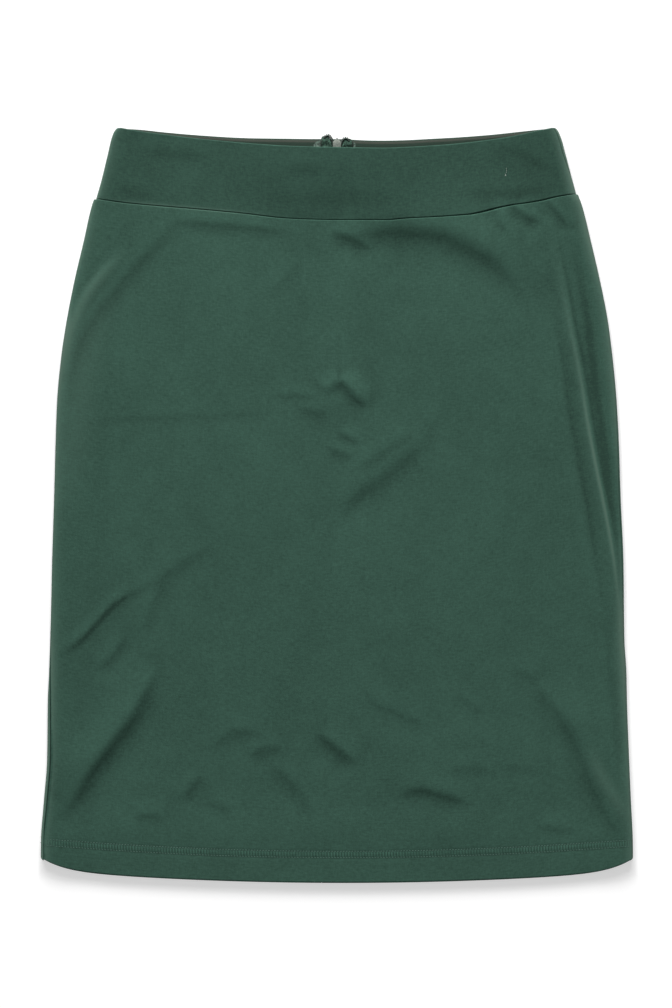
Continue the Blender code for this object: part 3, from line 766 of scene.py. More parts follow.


def relief_of(points):
    """r / (1 + |r|) of how far r a place stands above the average around it, and less on a ridge.

    The jersey paints this into its colour: shade in hollows, and a highlight on ridges.
    """
    height = points[..., 2]
    average = height
    for _ in range(RELIEF_ROUNDS):
        for axis in (0, 1):
            first, last = np.take(average, [0], axis), np.take(average, [-1], axis)
            padded = np.concatenate([first, average, last], axis=axis)
            before, after = (np.delete(padded, ends, axis) for ends in ([-2, -1], [0, 1]))
            average = (before + 2 * average + after) / 4
    relief = (height - average) / RELIEF_HALF
    return relief / (1 + np.abs(relief)) * np.where(relief > 0, RELIEF_ON_RIDGE, 1)


def traits_of(points, out, border, across, sewn_hem):
    """One number for each trait of each place on a face.

    The border trait is 1 along its border. `relief` is how high it stands among the places around
    it, which is painted as shade in hollows and highlight on ridges. `pale` is painted sheen and
    highlight, less a painted shade along a side seam. `needle`, on a panel with a sewn hem, is the
    distance below the upper row of stitching.
    """
    x, down = points[..., 0], y_at(points[..., 1])
    from_side = np.minimum(across, across[:, -1:] - across)
    pale = RIM_SHEEN * (1 - np.abs(out[..., 2])) ** RIM_POWER + side_sheen(x, down)
    pale = pale - seam_shade(x, down) * np.exp(-((from_side / SHADE_REACH) ** 2))
    faces_up = out[len(out) // 2, out.shape[1] // 2, 2] > 0
    if faces_up:
        pale = pale + rubbed(x, down)
    traits = {"near_border": np.exp(-((border / BORDER_REACH) ** 2)), "relief": relief_of(points), "pale": pale}
    if sewn_hem:
        traits["needle"] = down - stitch_down(across_at(x, down), 1)
    return traits


def add_trait(piece, name, values):
    """A number at every corner of a piece, as an attribute."""
    trait = piece.data.attributes.new(name, "FLOAT", "POINT")
    trait.data.foreach_set("value", values.astype(np.float32).ravel())


def add_cloth_map(piece, flat):
    """The cloth's own flat coordinates, across and down, as a UV map in metres."""
    mesh = piece.data
    corner = np.zeros(len(mesh.loops), np.int32)
    mesh.loops.foreach_get("vertex_index", corner)
    uv_map = mesh.uv_layers.new(name="cloth")
    uv_map.uv.foreach_set("vector", (flat * MM)[corner].astype(np.float32).ravel())


print(f"relief: half its limit at {RELIEF_HALF} mm above or below the cloth around it")

# %% The wall builder
def cloth_wall(name, face, thickness, finishes, sewn_hem=False):
    """A piece of cloth from its outer face. The last of its finishes is the wrong side's."""
    points, out = face
    down, across = lengths_along(points, 0), lengths_along(points, 1)
    border = np.minimum.reduce([down, down[-1:] - down, across, across[:, -1:] - across])
    outer, inner = rounded(points, out, border, np.broadcast_to(thickness, down.shape))
    picked = tuple(sampled(count) for count in down.shape)

    def on_both(outer_values, inner_values):
        inner_values = inner_values[np.ix_(*picked)]
        shape = (-1, *outer_values.shape[2:])
        return np.concatenate([outer_values.reshape(shape), inner_values.reshape(shape)])

    front, back, rim = wall_faces(*picked)
    faces = front + back + rim
    first, second = points[1, 1] - points[0, 1], points[1, 2] - points[1, 1]
    if np.cross(first, second) @ out[1, 1] < 0:
        faces = [corners[::-1] for corners in faces]
    piece = new_piece(name, on_both(outer, inner), faces, WALL_CRISP, finishes)
    finish_index = np.zeros(len(faces), np.int32)
    finish_index[len(front) : len(front) + len(back)] = len(finishes) - 1
    piece.data.polygons.foreach_set("material_index", finish_index)

    middle = across[:, [across.shape[1] // 2]]
    flat = np.stack([across - middle, -down], axis=-1)
    add_cloth_map(piece, on_both(flat, flat))
    for trait, values in traits_of(points, out, border, across, sewn_hem).items():
        add_trait(piece, trait, on_both(values, values))
    return piece


cloth = {}  # each piece of cloth, by the name of the solid that it stands for
print(f"wrong sides: one row and column for every {STRIDE} of the right side")

# %% [markdown]
# ## Finishes
#
# The jersey is a fine cotton knit with elastane: matt bottle green, with threads that differ
# slightly in how much dye they took. Light and shade are also painted into its colour: sheen on
# rounded edges and folded sides, highlights on some crests, shade in hollows, and its cut edges a
# little lighter, partly from wear. A plain colour would look like plastic. Here four patterns
# share the work: wide cloudy patches, short streaks along and across the knit, fine specks, and
# the knit's own tiny V shapes as bump.
#
# Shader maths is easier to read as an expression than as a page of nodes. `Field` wraps a
# socket, and each operator adds the Math node that it stands for.


# %% A small language for shader maths
FACTOR, FIRST_COLOUR, SECOND_COLOUR, MIXED = 0, 6, 7, 2  # a Mix node's sockets for colours


class Field:
    """A number that varies over the surface. Operators on it add Math nodes."""

    def __init__(self, finish, socket):
        self.finish, self.socket = finish, socket

    def math(self, operation, *values, **settings):
        """A Math node: its operation, its inputs in order, and any settings."""
        node = self.finish.node("Math", {"operation": operation, **settings}, dict(enumerate(values)))
        return Field(self.finish, node.outputs[0])

    def __add__(self, other):
        return self.math("ADD", self, other)

    def __sub__(self, other):
        return self.math("SUBTRACT", self, other)

    def __rsub__(self, other):
        return self.math("SUBTRACT", other, self)

    def __mul__(self, other):
        return self.math("MULTIPLY", self, other)

    __radd__ = __add__

    def sine(self):
        return self.math("SINE", self)

    def fraction(self):
        return self.math("FRACT", self)

    def size(self):
        """The number without its sign."""
        return self.math("ABSOLUTE", self)

    def limited(self):
        """The number kept from 0 to 1."""
        return self.math("ADD", self, 0.0, use_clamp=True)


class Finish:
    """A material in the making: a Principled shader, and a way to add nodes that feed it."""

    def __init__(self, name, constants):
        self.made = bpy.data.materials.new(name)
        self.made.use_nodes = True
        self.tree = self.made.node_tree
        self.shader = self.tree.nodes["Principled BSDF"]
        for socket, value in constants.items():
            self.shader.inputs[socket].default_value = value

    def put(self, socket, value):
        """Link a socket to a field or another socket, or set it to a plain value."""
        if isinstance(value, Field):
            value = value.socket
        if isinstance(value, bpy.types.NodeSocket):
            self.tree.links.new(value, socket)
        else:
            socket.default_value = value

    def node(self, kind, settings, sockets):
        """A node of any type: its settings first, then the values or links of its sockets."""
        made = self.tree.nodes.new("ShaderNode" + kind)
        for setting, value in settings.items():
            setattr(made, setting, value)
        for socket, value in sockets.items():
            self.put(made.inputs[socket], value)
        return made

    def field(self, kind, settings, sockets, output):
        """One output of a new node, as a number to reckon with."""
        return Field(self, self.node(kind, settings, sockets).outputs[output])

    def attribute(self, name):
        """A trait of the place, as add_trait stored it."""
        return self.field("Attribute", {"attribute_name": name}, {}, "Fac")

    def parts(self, vector):
        """The X and Y of a vector socket."""
        outputs = self.node("SeparateXYZ", {}, {"Vector": vector}).outputs
        return Field(self, outputs["X"]), Field(self, outputs["Y"])

    def cloth_place(self):
        """Across and down the cloth, in metres, from its own flat coordinates."""
        return self.parts(self.node("UVMap", {"uv_map": "cloth"}, {}).outputs["UV"])

    def space_place(self):
        """The place in the object's own space, as a vector socket."""
        return self.node("TexCoord", {}, {}).outputs["Object"]

    def noise(self, place, scale, detail):
        """Smooth noise from -1 to 1: `scale` waves a unit, with `detail` finer layers in it."""
        sockets = {"Vector": place, "Scale": scale, "Detail": detail}
        return self.field("TexNoise", {}, sockets, "Fac") * 2.0 - 1.0

    def noise_at(self, x, y, scale=1.0, detail=2.0):
        """Noise over a plane, whose two directions may be scaled before."""
        place = self.node("CombineXYZ", {}, {"X": x, "Y": y, "Z": 0.0}).outputs[0]
        return self.noise(place, scale, detail)

    def noise_in_space(self, scale, detail=2.0):
        """Noise in the object's own space."""
        return self.noise(self.space_place(), scale, detail)

    def between(self, share, dark, light):
        """A colour between two, by a share kept from 0 to 1. The first may come from another node."""
        first = dark if isinstance(dark, bpy.types.NodeSocket) else (*dark, 1)
        sockets = {FACTOR: share.limited(), FIRST_COLOUR: first, SECOND_COLOUR: (*light, 1)}
        return self.node("Mix", {"data_type": "RGBA"}, sockets).outputs[MIXED]

    def done(self, colour, roughness, height=None, depth=0.0, strength=1.0):
        """Feed the shader a colour, a roughness and perhaps a bump, and give back the material."""
        self.put(self.shader.inputs["Base Color"], colour)
        self.put(self.shader.inputs["Roughness"], roughness)
        if height is not None:
            sockets = {"Height": height, "Distance": depth, "Strength": strength}
            self.put(self.shader.inputs["Normal"], self.node("Bump", {}, sockets).outputs["Normal"])
        return self.made


def shaded(colour, by):
    """A colour made darker or lighter by a factor."""
    return tuple(channel * by for channel in colour)


print("shader maths: sums, products, sines and shares become nodes")

# %% Jersey, right side and wrong side
# the jersey's colour, and the colour that painted highlights and sheen turn it towards
JERSEY, PAINTED_HIGHLIGHT = (0.0355, 0.0815, 0.0605), (0.094, 0.150, 0.119)
SPREAD, BAND_SHADE = 0.40, 0.81  # dye's range both ways, and a darker band, partly painted shade
# the strip's brownish colour, and the facing's green made darker as painted shade
INSIDE, SHADED_FACING = (0.064, 0.071, 0.059), (0.022, 0.042, 0.031)
DARK_FOLD, STRIP_END = 0.7, 2.3  # painted shade down to the first, the strip to the second, in mm
WIDE_CLOUDS, SMALL_CLOUDS, SPECKS = 14.0, 70.0, 1100.0  # patterns a metre
STREAKS_ACROSS, STREAKS_DOWN = (230.0, 680.0), (680.0, 260.0)  # the same, across and down the cloth
WALES_PER_METRE, COURSES_PER_METRE = 1750, 2300
KNIT_DEPTH, KNIT_BUMP = 0.00009, 0.8  # in metres, and the bump's strength
STITCH_PITCH, PRICK = 2.3, 0.55  # from stitch to stitch, and a needle hole's radius
ROW_APART = STITCH_UP[1] - STITCH_UP[0]
MM_PER_METRE = 1000.0


def knit(finish):
    """Columns of V shapes: a ridge for each leg of a stitch, and a wave slanting from a column's middle."""
    across, down = finish.cloth_place()
    column = (across * WALES_PER_METRE).fraction()
    leg = (column * (4 * math.pi)).sine()
    slant = (column - 0.5).size()
    wave = ((down * COURSES_PER_METRE + slant * 1.2) * (2 * math.pi)).sine()
    return leg * 0.4 + wave * 0.6


def needle_marks(finish):
    """Dark pricks between stitches, from 0 to 1, and puckers across the hem's two rows, from -1 to 1."""
    along = finish.cloth_place()[0] * (MM_PER_METRE / STITCH_PITCH)
    below_upper = finish.attribute("needle")
    to_middle = (below_upper - ROW_APART / 2).size()
    to_row = (to_middle - ROW_APART / 2).size()
    to_prick = (0.5 - (along.fraction() - 0.5).size()) * STITCH_PITCH
    prick = (1 - (to_prick * to_prick + to_row * to_row) * (1 / PRICK**2)).limited()
    between_rows = (1.25 - to_middle * (2.0 / ROW_APART)).limited()
    return prick, (along * (2 * math.pi)).sine() * between_rows


def jersey_constants(sheen):
    """A matt cloth: next to no gloss, and a soft sheen."""
    return {"Sheen Weight": sheen, "Sheen Roughness": 0.45, "Specular IOR Level": 0.05}


def jersey_finish(name, colour, sewn_hem=False):
    """Dye in clouds, streaks and specks; painted sheen, highlights and shade."""
    finish = Finish(name, {**jersey_constants(0.03), "Sheen Tint": (0.55, 0.80, 0.70, 1)})
    across, down = finish.cloth_place()
    wide, small = (finish.noise_in_space(scale, 3.0) for scale in (WIDE_CLOUDS, SMALL_CLOUDS))
    clouds = wide * 0.55 + small * 0.45
    crosswise, lengthwise = (
        finish.noise_at(across * scale[0], down * scale[1]) for scale in (STREAKS_ACROSS, STREAKS_DOWN)
    )
    streaks = crosswise + lengthwise * 0.7
    specks = finish.noise_at(across, down, SPECKS)
    near_border, relief, pale = (finish.attribute(trait) for trait in ("near_border", "relief", "pale"))
    # painted light and shade: relief darkens hollows and lightens ridges, pale is painted sheen and
    # highlights, and the border trait lightens edges, partly painted highlight and partly wear
    share = clouds * 0.33 + streaks * 0.36 + specks * 0.28 + near_border * 0.25 + relief * 0.7 + pale * 0.5 + 0.5
    height = knit(finish) * 0.35 + specks * 0.5 + streaks * 0.25
    if sewn_hem:
        prick, pucker = needle_marks(finish)
        # painted light and shade on the puckers: the colour changes with them, beside their bump
        share = share - prick * 0.7 + pucker * (clouds * 0.8 + 0.32)
        height = height - prick * 1.5 + pucker * 0.7
    dyed = finish.between(share, shaded(colour, 1 - SPREAD), shaded(colour, 1 + SPREAD))
    colour_here = finish.between(pale * 0.75, dyed, PAINTED_HIGHLIGHT)
    return finish.done(colour_here, specks * 0.06 + 0.84, height, KNIT_DEPTH, KNIT_BUMP)


def inside_finish():
    """The waistband's inner side: painted shade along its folded top edge, a lighter brownish strip,
    and below it the facing's green, darkened by painted shade.
    """
    finish = Finish("jersey_inside", jersey_constants(0.02))
    across, down = finish.cloth_place()
    specks = finish.noise_at(across, down, SPECKS)
    from_top = down * -MM_PER_METRE
    strip = (from_top - DARK_FOLD).limited() * (1 - (from_top - STRIP_END).limited())
    colour = finish.between(strip * 0.8 + specks * 0.25 + 0.1, SHADED_FACING, INSIDE)
    height = knit(finish) * 0.35 + specks * 0.5
    return finish.done(colour, specks * 0.06 + 0.84, height, KNIT_DEPTH, KNIT_BUMP)


jersey = jersey_finish("jersey", JERSEY, sewn_hem=True)
# partly painted shade: the waistband gets a darker copy of the jersey, where the near lamp is stronger
band_jersey = jersey_finish("band_jersey", shaded(JERSEY, BAND_SHADE))
jersey_inside = inside_finish()
print(f"jersey: {WALES_PER_METRE / MM_PER_METRE:.1f} stitches a millimetre, right side and wrong side")

# %% [markdown]
# ## The panels and the waistband
#
# The front panel is one piece, from side seam to side seam, so its grid runs round both folded
# sides. Its columns are about twice as close along the sharp ridge on the right. The back is two
# pieces with a seam down the centre, which has wandered to the left below the zip. The waistband
# is doubled and shaped to the hip: its lower edge is longer than its top.

# %% Front panel
GRID_COLUMNS, CROWDED_FROM, CROWDING = 271, 0.87, 2.2
even = np.linspace(0, CROWDED_FROM + (1 - CROWDED_FROM) * CROWDING, GRID_COLUMNS)
FRONT_PLACES = np.interp(even, [0, CROWDED_FROM, even[-1]], [0, CROWDED_FROM, 1])


def panel_wall(rows):
    """The panel's thickness, which nearly doubles over the turned-up hem."""
    up = (1 - rows) * PANEL_LENGTH
    doubled = ease((HEM_DEPTH + PROUD_OVER / 2 - up) / PROUD_OVER)
    return (CLOTH_WALL + (HEM_WALL - CLOTH_WALL) * doubled)[:, None]


cloth["front_panel"] = cloth_wall(
    "front_panel_cloth",
    front_face(
        PANELS, TURNS, FRONT_PLACES, panel_rows,
        edge_of("front_seam", 1), lambda across: hem_down(across) - FRONT_HEM_RISE,
    ),
    panel_wall(panel_rows), [jersey], sewn_hem=True,
)
print(f"front panel: {len(cloth['front_panel'].data.polygons)} faces")

# %% Front waistband
BAND_PLACES = np.linspace(0, 1, 220)
cloth["waistband_front"] = cloth_wall(
    "waistband_front_cloth",
    front_face(BANDS, TURNS, BAND_PLACES, band_rows, edge_of("front_top"), edge_of("front_seam", -1)),
    BAND_WALL, [band_jersey, jersey_inside],
)
print(f"front waistband: {len(cloth['waistband_front'].data.polygons)} faces")

# %% Back panels and back waistbands
BACK_PLACES = np.linspace(0, 1, 90)
BACK_BAND_PLACES = 1 - (1 - np.linspace(0, 1, 120)) ** 1.3  # closer towards the zip
BACK_STEPS = (
    Step(4, 1.0, 14, ((-210, 392), (-160, 350), (-96, 300))),
    Step(5, 1.2, 16, ((-224, 540), (-176, 470), (-140, 410))),
    Step(4, 0.8, 12, ((-150, 240), (-120, 180), (-112, 120))),
    Step(4, 0.7, 12, ((-96, 500), (-60, 486), (-30, 498))),
    Step(5, 1.1, 14, ((60, 96), (110, 118), (160, 160))),
    Step(4, 0.9, 14, ((20, 380), (60, 330), (96, 300))),
    Step(4, 1.0, 12, ((200, 420), (186, 330), (160, 250))),
    Step(5, 1.2, 16, ((120, 470), (160, 500), (206, 556))),
    Step(4, 0.7, 12, ((40, 520), (76, 512), (112, 524))),
)


def back_height(x, down):
    """The back's outer face rests flat, but each crease and stitching row lifts a narrow hollow."""
    hollows = sum(step_height(step, x, down) for step in BACK_STEPS)
    pulled = stitch_pull(across_at(x, down), down)
    return back_lift(x, down) + np.maximum(hollows, 0) + BACK_GROOVE * pulled


def back_seam_edge(shift):
    """The back's waist seam, moved by half its gap: down for a shift of 1, up for -1."""
    return lambda across: back_seam(across) + shift * half_gap(across)


for side, name in SIDES.items():
    cloth[f"back_panel_{name}"] = cloth_wall(
        f"back_panel_{name}_cloth",
        back_face(
            PANELS, side, TURNS, BACK_PLACES, back_rows,
            back_seam_edge(1), hem_down, back_height,
        ),
        panel_wall(back_rows), [jersey], sewn_hem=True,
    )
    cloth[f"waistband_back_{name}"] = cloth_wall(
        f"waistband_back_{name}_cloth",
        back_face(
            BANDS, side, TURNS, BACK_BAND_PLACES, band_rows,
            edge_of("back_top"), back_seam_edge(-1), back_lift,
        ),
        BAND_WALL, [band_jersey, jersey_inside],
    )
print(f"cloth so far: {', '.join(cloth)}")

# %% [markdown]
# ## Seam allowance
#
# Where two cut edges are sewn together, a strip of each is left over on the inside. Under the
# waist seam it is pressed down behind the panel. It is hidden, but the seam would not look right
# without it: what shows between the two rounded edges is this strip, deep in shade.

# %% Waist seam allowance
ALLOWANCE_UNDER, ALLOWANCE_END = 1.75, 3.2  # below the front's outer face, and in from its sides
ALLOWANCE_WALL = 0.7
ALLOWANCE_DEEPER, DEEPER_FROM, DEEPER_OVER = 0.5, 0.93, 0.07  # the last two as shares across
ALLOWANCE_DOWN = np.array([-3.0, -2.0, -1.0, 0, 1, 2.5, 4, 5.5, 7])
ALLOWANCE_PLACES = np.linspace(0, 1, 160)


def allowance_face(places):
    """Across the front, a set depth under its outer face, and a little deeper at the two ends."""
    across = 2 * places[None, :] - 1
    down = follow(EDGES, "across", "front_seam", across) + ALLOWANCE_DOWN[:, None]
    low = ALLOWANCE_END - follow(PANELS, "down", "left", down)
    high = follow(PANELS, "down", "right", down) - ALLOWANCE_END
    x = low + (high - low) * places[None, :]
    deeper = ALLOWANCE_DEEPER * ease((np.abs(across) - DEEPER_FROM) / DEEPER_OVER)
    return grid(x, down, front_height(PANELS, x, down) - ALLOWANCE_UNDER - deeper, UP)


allowance = cloth_wall(
    "waist_seam_allowance", allowance_face(ALLOWANCE_PLACES), ALLOWANCE_WALL, [jersey],
)
print(f"seam allowance: {ALLOWANCE_DOWN[-1] - ALLOWANCE_DOWN[0]:.0f} mm wide")

# %% [markdown]
# ## The zip
#
# A concealed zip is two woven tapes with a spiral of nylon wire sewn along each. The spirals lock
# turn by turn behind the seam. Above the slider they are free, and the top of each tape is folded
# away outwards, so that two small green lumps with the last few turns stand above the waistband.
#
# Each spiral is a wire that winds round an oval as its centre moves along a path. Sweeping a
# circle along that curve needs a frame at every point. The direction from the path's centre to
# the wire gives one that never flips.

# %% Zip tapes
TAPE_WIDTH, TAPE_WALL, TAPE_FOLDED = 12.0, 0.6, 1.9
TAPE_PART, TAPE_CLEAR = 0.5, 0.3  # half the gap between the tapes, and from each to the cloth
TAPE_STEP = (70.0, 84.0)  # between these, a tape steps down from the waistband to the panel
FOLD_LENGTH, FOLD_EASE = 8.0, 4.0  # how much of a tape's top is folded, and how softly it ends
FOLD_OUT, FOLD_OUT_EASE = 2.4, 1.6  # the same from its inner edge outwards
TAPE_COLUMNS = np.linspace(0, TAPE_WIDTH, 31)
ZIP_END = 212.0
TAPE_TOPS = chart(
    "out    left  right",
    (0.0, 12.5, 12.6),
    (2.0, 11.8, 12.0),
    (3.2, 10.4, 10.8),
    (4.4, 8.4, 9.4),
    (6.8, 5.6, 7.7),
    (9.4, 5.7, 8.0),
    (11.2, 6.2, 8.7),
    (12.2, 7.8, 9.6),
    (13.5, 9.6, 11.0),
)


def tape_base(x, down):
    """The height of the back's inner face, and a hair's breadth more."""
    step = ease((down - TAPE_STEP[0]) / (TAPE_STEP[1] - TAPE_STEP[0]))
    return back_lift(x, down) + BAND_WALL + (CLOTH_WALL - BAND_WALL) * step + TAPE_CLEAR


def tape_face(side, outs, rows):
    """A tape's upper face, and its thickness: double and more where its top end is folded over."""
    top = follow(TAPE_TOPS, "out", SIDES[side], outs)[None, :]
    down = top + (ZIP_END - top) * rows[:, None]
    start = np.maximum(opening_half(down), TAPE_PART)
    x = side * (start + (TAPE_WIDTH - start + TAPE_PART) * outs / TAPE_WIDTH)
    folded = ease((FOLD_LENGTH - (down - top)) / FOLD_EASE) * ease((outs - FOLD_OUT) / FOLD_OUT_EASE)
    thickness = TAPE_WALL + (TAPE_FOLDED - TAPE_WALL) * folded
    return grid(x, down, tape_base(x, down) + thickness, UP), thickness


def woven_finish(name, colour):
    """A twill tape: slanted ribs about half a millimetre apart, and finer threads along it."""
    rib_pitch, rib_slant, thread_pitch = 0.00055, 0.7, 0.0004
    finish = Finish(name, {"Specular IOR Level": 0.2, "Sheen Weight": 0.05, "Sheen Roughness": 0.5})
    across, down = finish.cloth_place()
    rib = ((across + down * rib_slant) * (2 * math.pi / rib_pitch)).sine()
    thread = (down * (2 * math.pi / thread_pitch)).sine()
    mottle, near_border = finish.noise_in_space(750.0), finish.attribute("near_border")
    # darker towards its edges
    share = rib * 0.1 + thread * 0.06 + mottle * 1.6 + 0.5 - near_border * 0.7
    woven = finish.between(share, shaded(colour, 0.35), shaded(colour, 1.7))
    return finish.done(woven, share * 0.1 + 0.72, rib * 0.6 + thread * 0.3, 0.00004, 0.5)


woven_tape = woven_finish("woven_tape", (0.043, 0.092, 0.066))
tape_rows = rows_down(ZIP_END - 8, 2.6, [(1.9, 13, 0.5)])
for side, name in SIDES.items():
    cloth[f"zip_tape_{name}"] = cloth_wall(
        f"zip_tape_{name}_cloth", *tape_face(side, TAPE_COLUMNS, tape_rows), [woven_tape],
    )
print(f"zip tapes: {TAPE_WIDTH:.0f} mm wide, {ZIP_END - TAPE_TOPS['left'].min():.0f} mm long")

# %% Tape ends turned out beside the lumps
TAPE_ENDS = {
    "left": chart(
        "out   top",
        (12.85, 8.7),
        (15.2, 9.3),
        (17.6, 11.0),
        (19.0, 13.0),
        (19.6, 15.4),
    ),
    "right": chart(
        "out   top",
        (12.85, 10.0),
        (13.6, 10.3),
        (14.4, 11.2),
        (14.9, 12.6),
        (15.0, 14.0),
    ),
}


def turned_end(side, name):
    """A small flap beside a tape: its upper edge follows a table, and it runs down behind the waistband."""
    table, bottom = TAPE_ENDS[name], 24.0
    out = np.linspace(table["out"][0], table["out"][-1], 14)[None, :]
    top = follow(table, "out", "top", out)
    down = top + (bottom - top) * rows_down(14.0, 1.2)[:, None]
    x = side * np.broadcast_to(out, down.shape)
    return grid(x, down, tape_base(x, down) + TAPE_WALL, UP), TAPE_WALL


# a paler copy of the tape's finish, for its turned-out ends
paler_tape = woven_finish("paler_tape", (0.082, 0.122, 0.099))
tape_ends = {
    name: cloth_wall(f"zip_tape_end_{name}", *turned_end(side, name), [paler_tape])
    for side, name in SIDES.items()
}
for name, table in TAPE_ENDS.items():
    print(f"{name} tape end: {table['out'][-1] - table['out'][0]:.0f} mm beside the tape")

# %% Where the nylon spirals run
COIL_WIRE, CORD, CORD_SEWN = 0.33, 0.5, 0.12  # radii: wire, free cord, and cord that is sewn down
PATH_STEP = 0.1  # between two places of a spiral's centre
LOCKED_FROM, LOCKED_OUT, SPREAD_OUT = 17.0, 1.24, 0.96  # the locked spiral starts wider apart
SPREAD_FROM, SPREAD_OVER = 15.0, 8.0  # where the two begin to close up, and over how far
FREE_TO, FREE_EASE = 15.5, 4.0  # down to where a spiral is free
COIL_CLEAR, FREE_SINK = 0.03, 0.55  # above the tape, and how much lower the free part lies
COIL = chart(
    "free half_width half_height pitch",
    (0.0, 1.05, 0.24, 1.2),
    (1.0, 0.92, 0.62, 1.3),
)
COIL_TOPS = {
    "left": chart(
        "share out down above",
        (0.0, 10.1, 7.6, 0.6),
        (0.2, 8.6, 5.9, 1.1),
        (0.4, 6.6, 5.5, 1.2),
        (0.6, 4.8, 7.6, 1.1),
        (0.8, 3.5, 10.8, 0.7),
        (1.0, 2.3, 15.0, 0.0),
    ),
    "right": chart(
        "share out down above",
        (0.0, 9.9, 9.9, 0.6),
        (0.2, 8.5, 8.4, 1.1),
        (0.4, 6.6, 7.8, 1.2),
        (0.6, 4.9, 8.9, 1.1),
        (0.8, 3.5, 11.7, 0.7),
        (1.0, 2.3, 15.0, 0.0),
    ),
}


def coil_path(side):
    """The centre of a spiral, evenly spaced: out over the folded tape, then down its inner edge."""
    top = COIL_TOPS[SIDES[side]]
    share = np.linspace(0, 1, 60)
    free = np.stack([follow(top, "share", name, share) for name in ("out", "down", "above")], axis=-1)
    down = np.linspace(LOCKED_FROM, ZIP_END - 2, 400)
    spread = SPREAD_OUT * (1 - ease((down - SPREAD_FROM) / SPREAD_OVER))
    locked = np.stack([LOCKED_OUT + spread, down, 0 * down], axis=-1)
    out, down, above = np.concatenate([free, locked]).T
    is_free = ease((FREE_TO - down) / FREE_EASE)
    sewn_half, free_half = COIL["half_height"]
    half_height = sewn_half + (free_half - sewn_half) * is_free
    on_tape = tape_base(side * out, down) + TAPE_WALL
    z = on_tape + half_height + COIL_WIRE + COIL_CLEAR + above - FREE_SINK * is_free
    centre = np.stack([side * out, y_at(down), z], axis=-1)
    run = np.concatenate([[0], np.cumsum(np.linalg.norm(np.diff(centre, axis=0), axis=1))])
    at = np.arange(0, run[-1], PATH_STEP)
    centre = np.stack([np.interp(at, run, values) for values in centre.T], axis=-1)
    return centre, np.interp(at, run, is_free)


print(f"zip: spirals {LOCKED_OUT:.1f} mm to each side of its middle")

# %% Tubes
def swept(name, path, outward, radius, sides, finish):
    """A tube: rings of radius times (cos a outward + sin a (tangent x outward)), closed at both ends."""
    tangent = np.gradient(path, axis=0)
    tangent /= np.linalg.norm(tangent, axis=1, keepdims=True)
    outward = outward - np.sum(outward * tangent, axis=1, keepdims=True) * tangent
    outward /= np.linalg.norm(outward, axis=1, keepdims=True)
    third = np.cross(tangent, outward)
    angle = np.linspace(0, 2 * math.pi, sides, endpoint=False)[None, :, None]
    radius = np.broadcast_to(radius, len(path))[:, None, None]
    rings = path[:, None] + radius * (np.cos(angle) * outward[:, None] + np.sin(angle) * third[:, None])
    return tube_mesh(name, rings[None], finish)


def tube_mesh(name, tubes, finish):
    """One mesh from an array of tubes: tube, ring, corner, xyz. Each end is closed by one face."""
    count, rings, sides = tubes.shape[:3]
    index = np.arange(count * rings * sides).reshape(count, rings, sides)
    after = np.roll(index, -1, axis=2)
    walls = np.stack([index[:, :-1], after[:, :-1], after[:, 1:], index[:, 1:]], axis=-1).reshape(-1, 4)
    caps = np.concatenate([index[:, 0, ::-1], index[:, -1]])
    return new_piece(name, tubes.reshape(-1, 3), walls.tolist() + caps.tolist(), TUBE_CRISP, [finish])


print("tubes: one face closes each end")

# %% Nylon spirals, each round its filler cord
def coil(name, side, finish):
    """Centre, plus half width times cos of the turn across the path, and half height times sin of it up."""
    centre, free = coil_path(side)
    half_width, half_height, pitch = (
        follow(COIL, "free", column, free) for column in ("half_width", "half_height", "pitch")
    )
    turn = np.cumsum(PATH_STEP / pitch) * 2 * math.pi
    ahead = np.gradient(centre, axis=0)
    across = np.cross(ahead, UP)
    across /= np.linalg.norm(across, axis=1, keepdims=True)
    outward = across * (half_width * np.cos(turn))[:, None] + UP * (half_height * np.sin(turn))[:, None]
    outline = np.linalg.norm(outward, axis=1, keepdims=True)
    return swept(name, centre + outward, outward / outline, COIL_WIRE, 6, finish)


def filler_cord(name, side, finish):
    """A cord through the middle of a spiral, thinner where the spiral is sewn down."""
    centre, free = coil_path(side)
    centre, free = centre[4::8], free[4::8]
    radius = CORD_SEWN + (CORD - CORD_SEWN) * free
    return swept(name, centre, np.broadcast_to(UP, centre.shape), radius, 8, finish)


def nylon_finish():
    """Dyed nylon: smooth and dark, with a soft gloss."""
    finish = Finish("dyed_nylon", {"Specular IOR Level": 0.4})
    blotch = finish.noise_in_space(900.0)
    colour = finish.between(blotch * 0.5 + 0.5, (0.007, 0.014, 0.010), (0.018, 0.034, 0.026))
    return finish.done(colour, blotch * 0.06 + 0.42)


def cord_finish():
    """Undyed spun cord: pale and fuzzy."""
    finish = Finish("filler_cord", {"Specular IOR Level": 0.2})
    fuzz = finish.noise_in_space(1800.0)
    colour = finish.between(fuzz * 0.7 + 0.5, (0.13, 0.17, 0.15), (0.34, 0.39, 0.35))
    return finish.done(colour, fuzz * 0.08 + 0.8, fuzz, 0.00006, 0.6)


nylon, cord_cloth = nylon_finish(), cord_finish()
coils = {name: coil(f"zip_coil_{name}", side, nylon) for side, name in SIDES.items()}
cords = {name: filler_cord(f"zip_cord_{name}", side, cord_cloth) for side, name in SIDES.items()}
for name, piece in coils.items():
    print(f"{name} spiral: {len(piece.data.polygons)} faces")

# %% [markdown]
# ## The slider
#
# The slider's body and the neck through the opening are solids of the frame, and so is its pull
# tab. They keep their shapes, and get the painted finish. Over the body goes a smooth cap: rows of
# a rounded section, |x|^n + |z|^n = 1, whose half width follows a table from the pointed nose to
# the wide shoulders, which is the part that shows above the waistband.

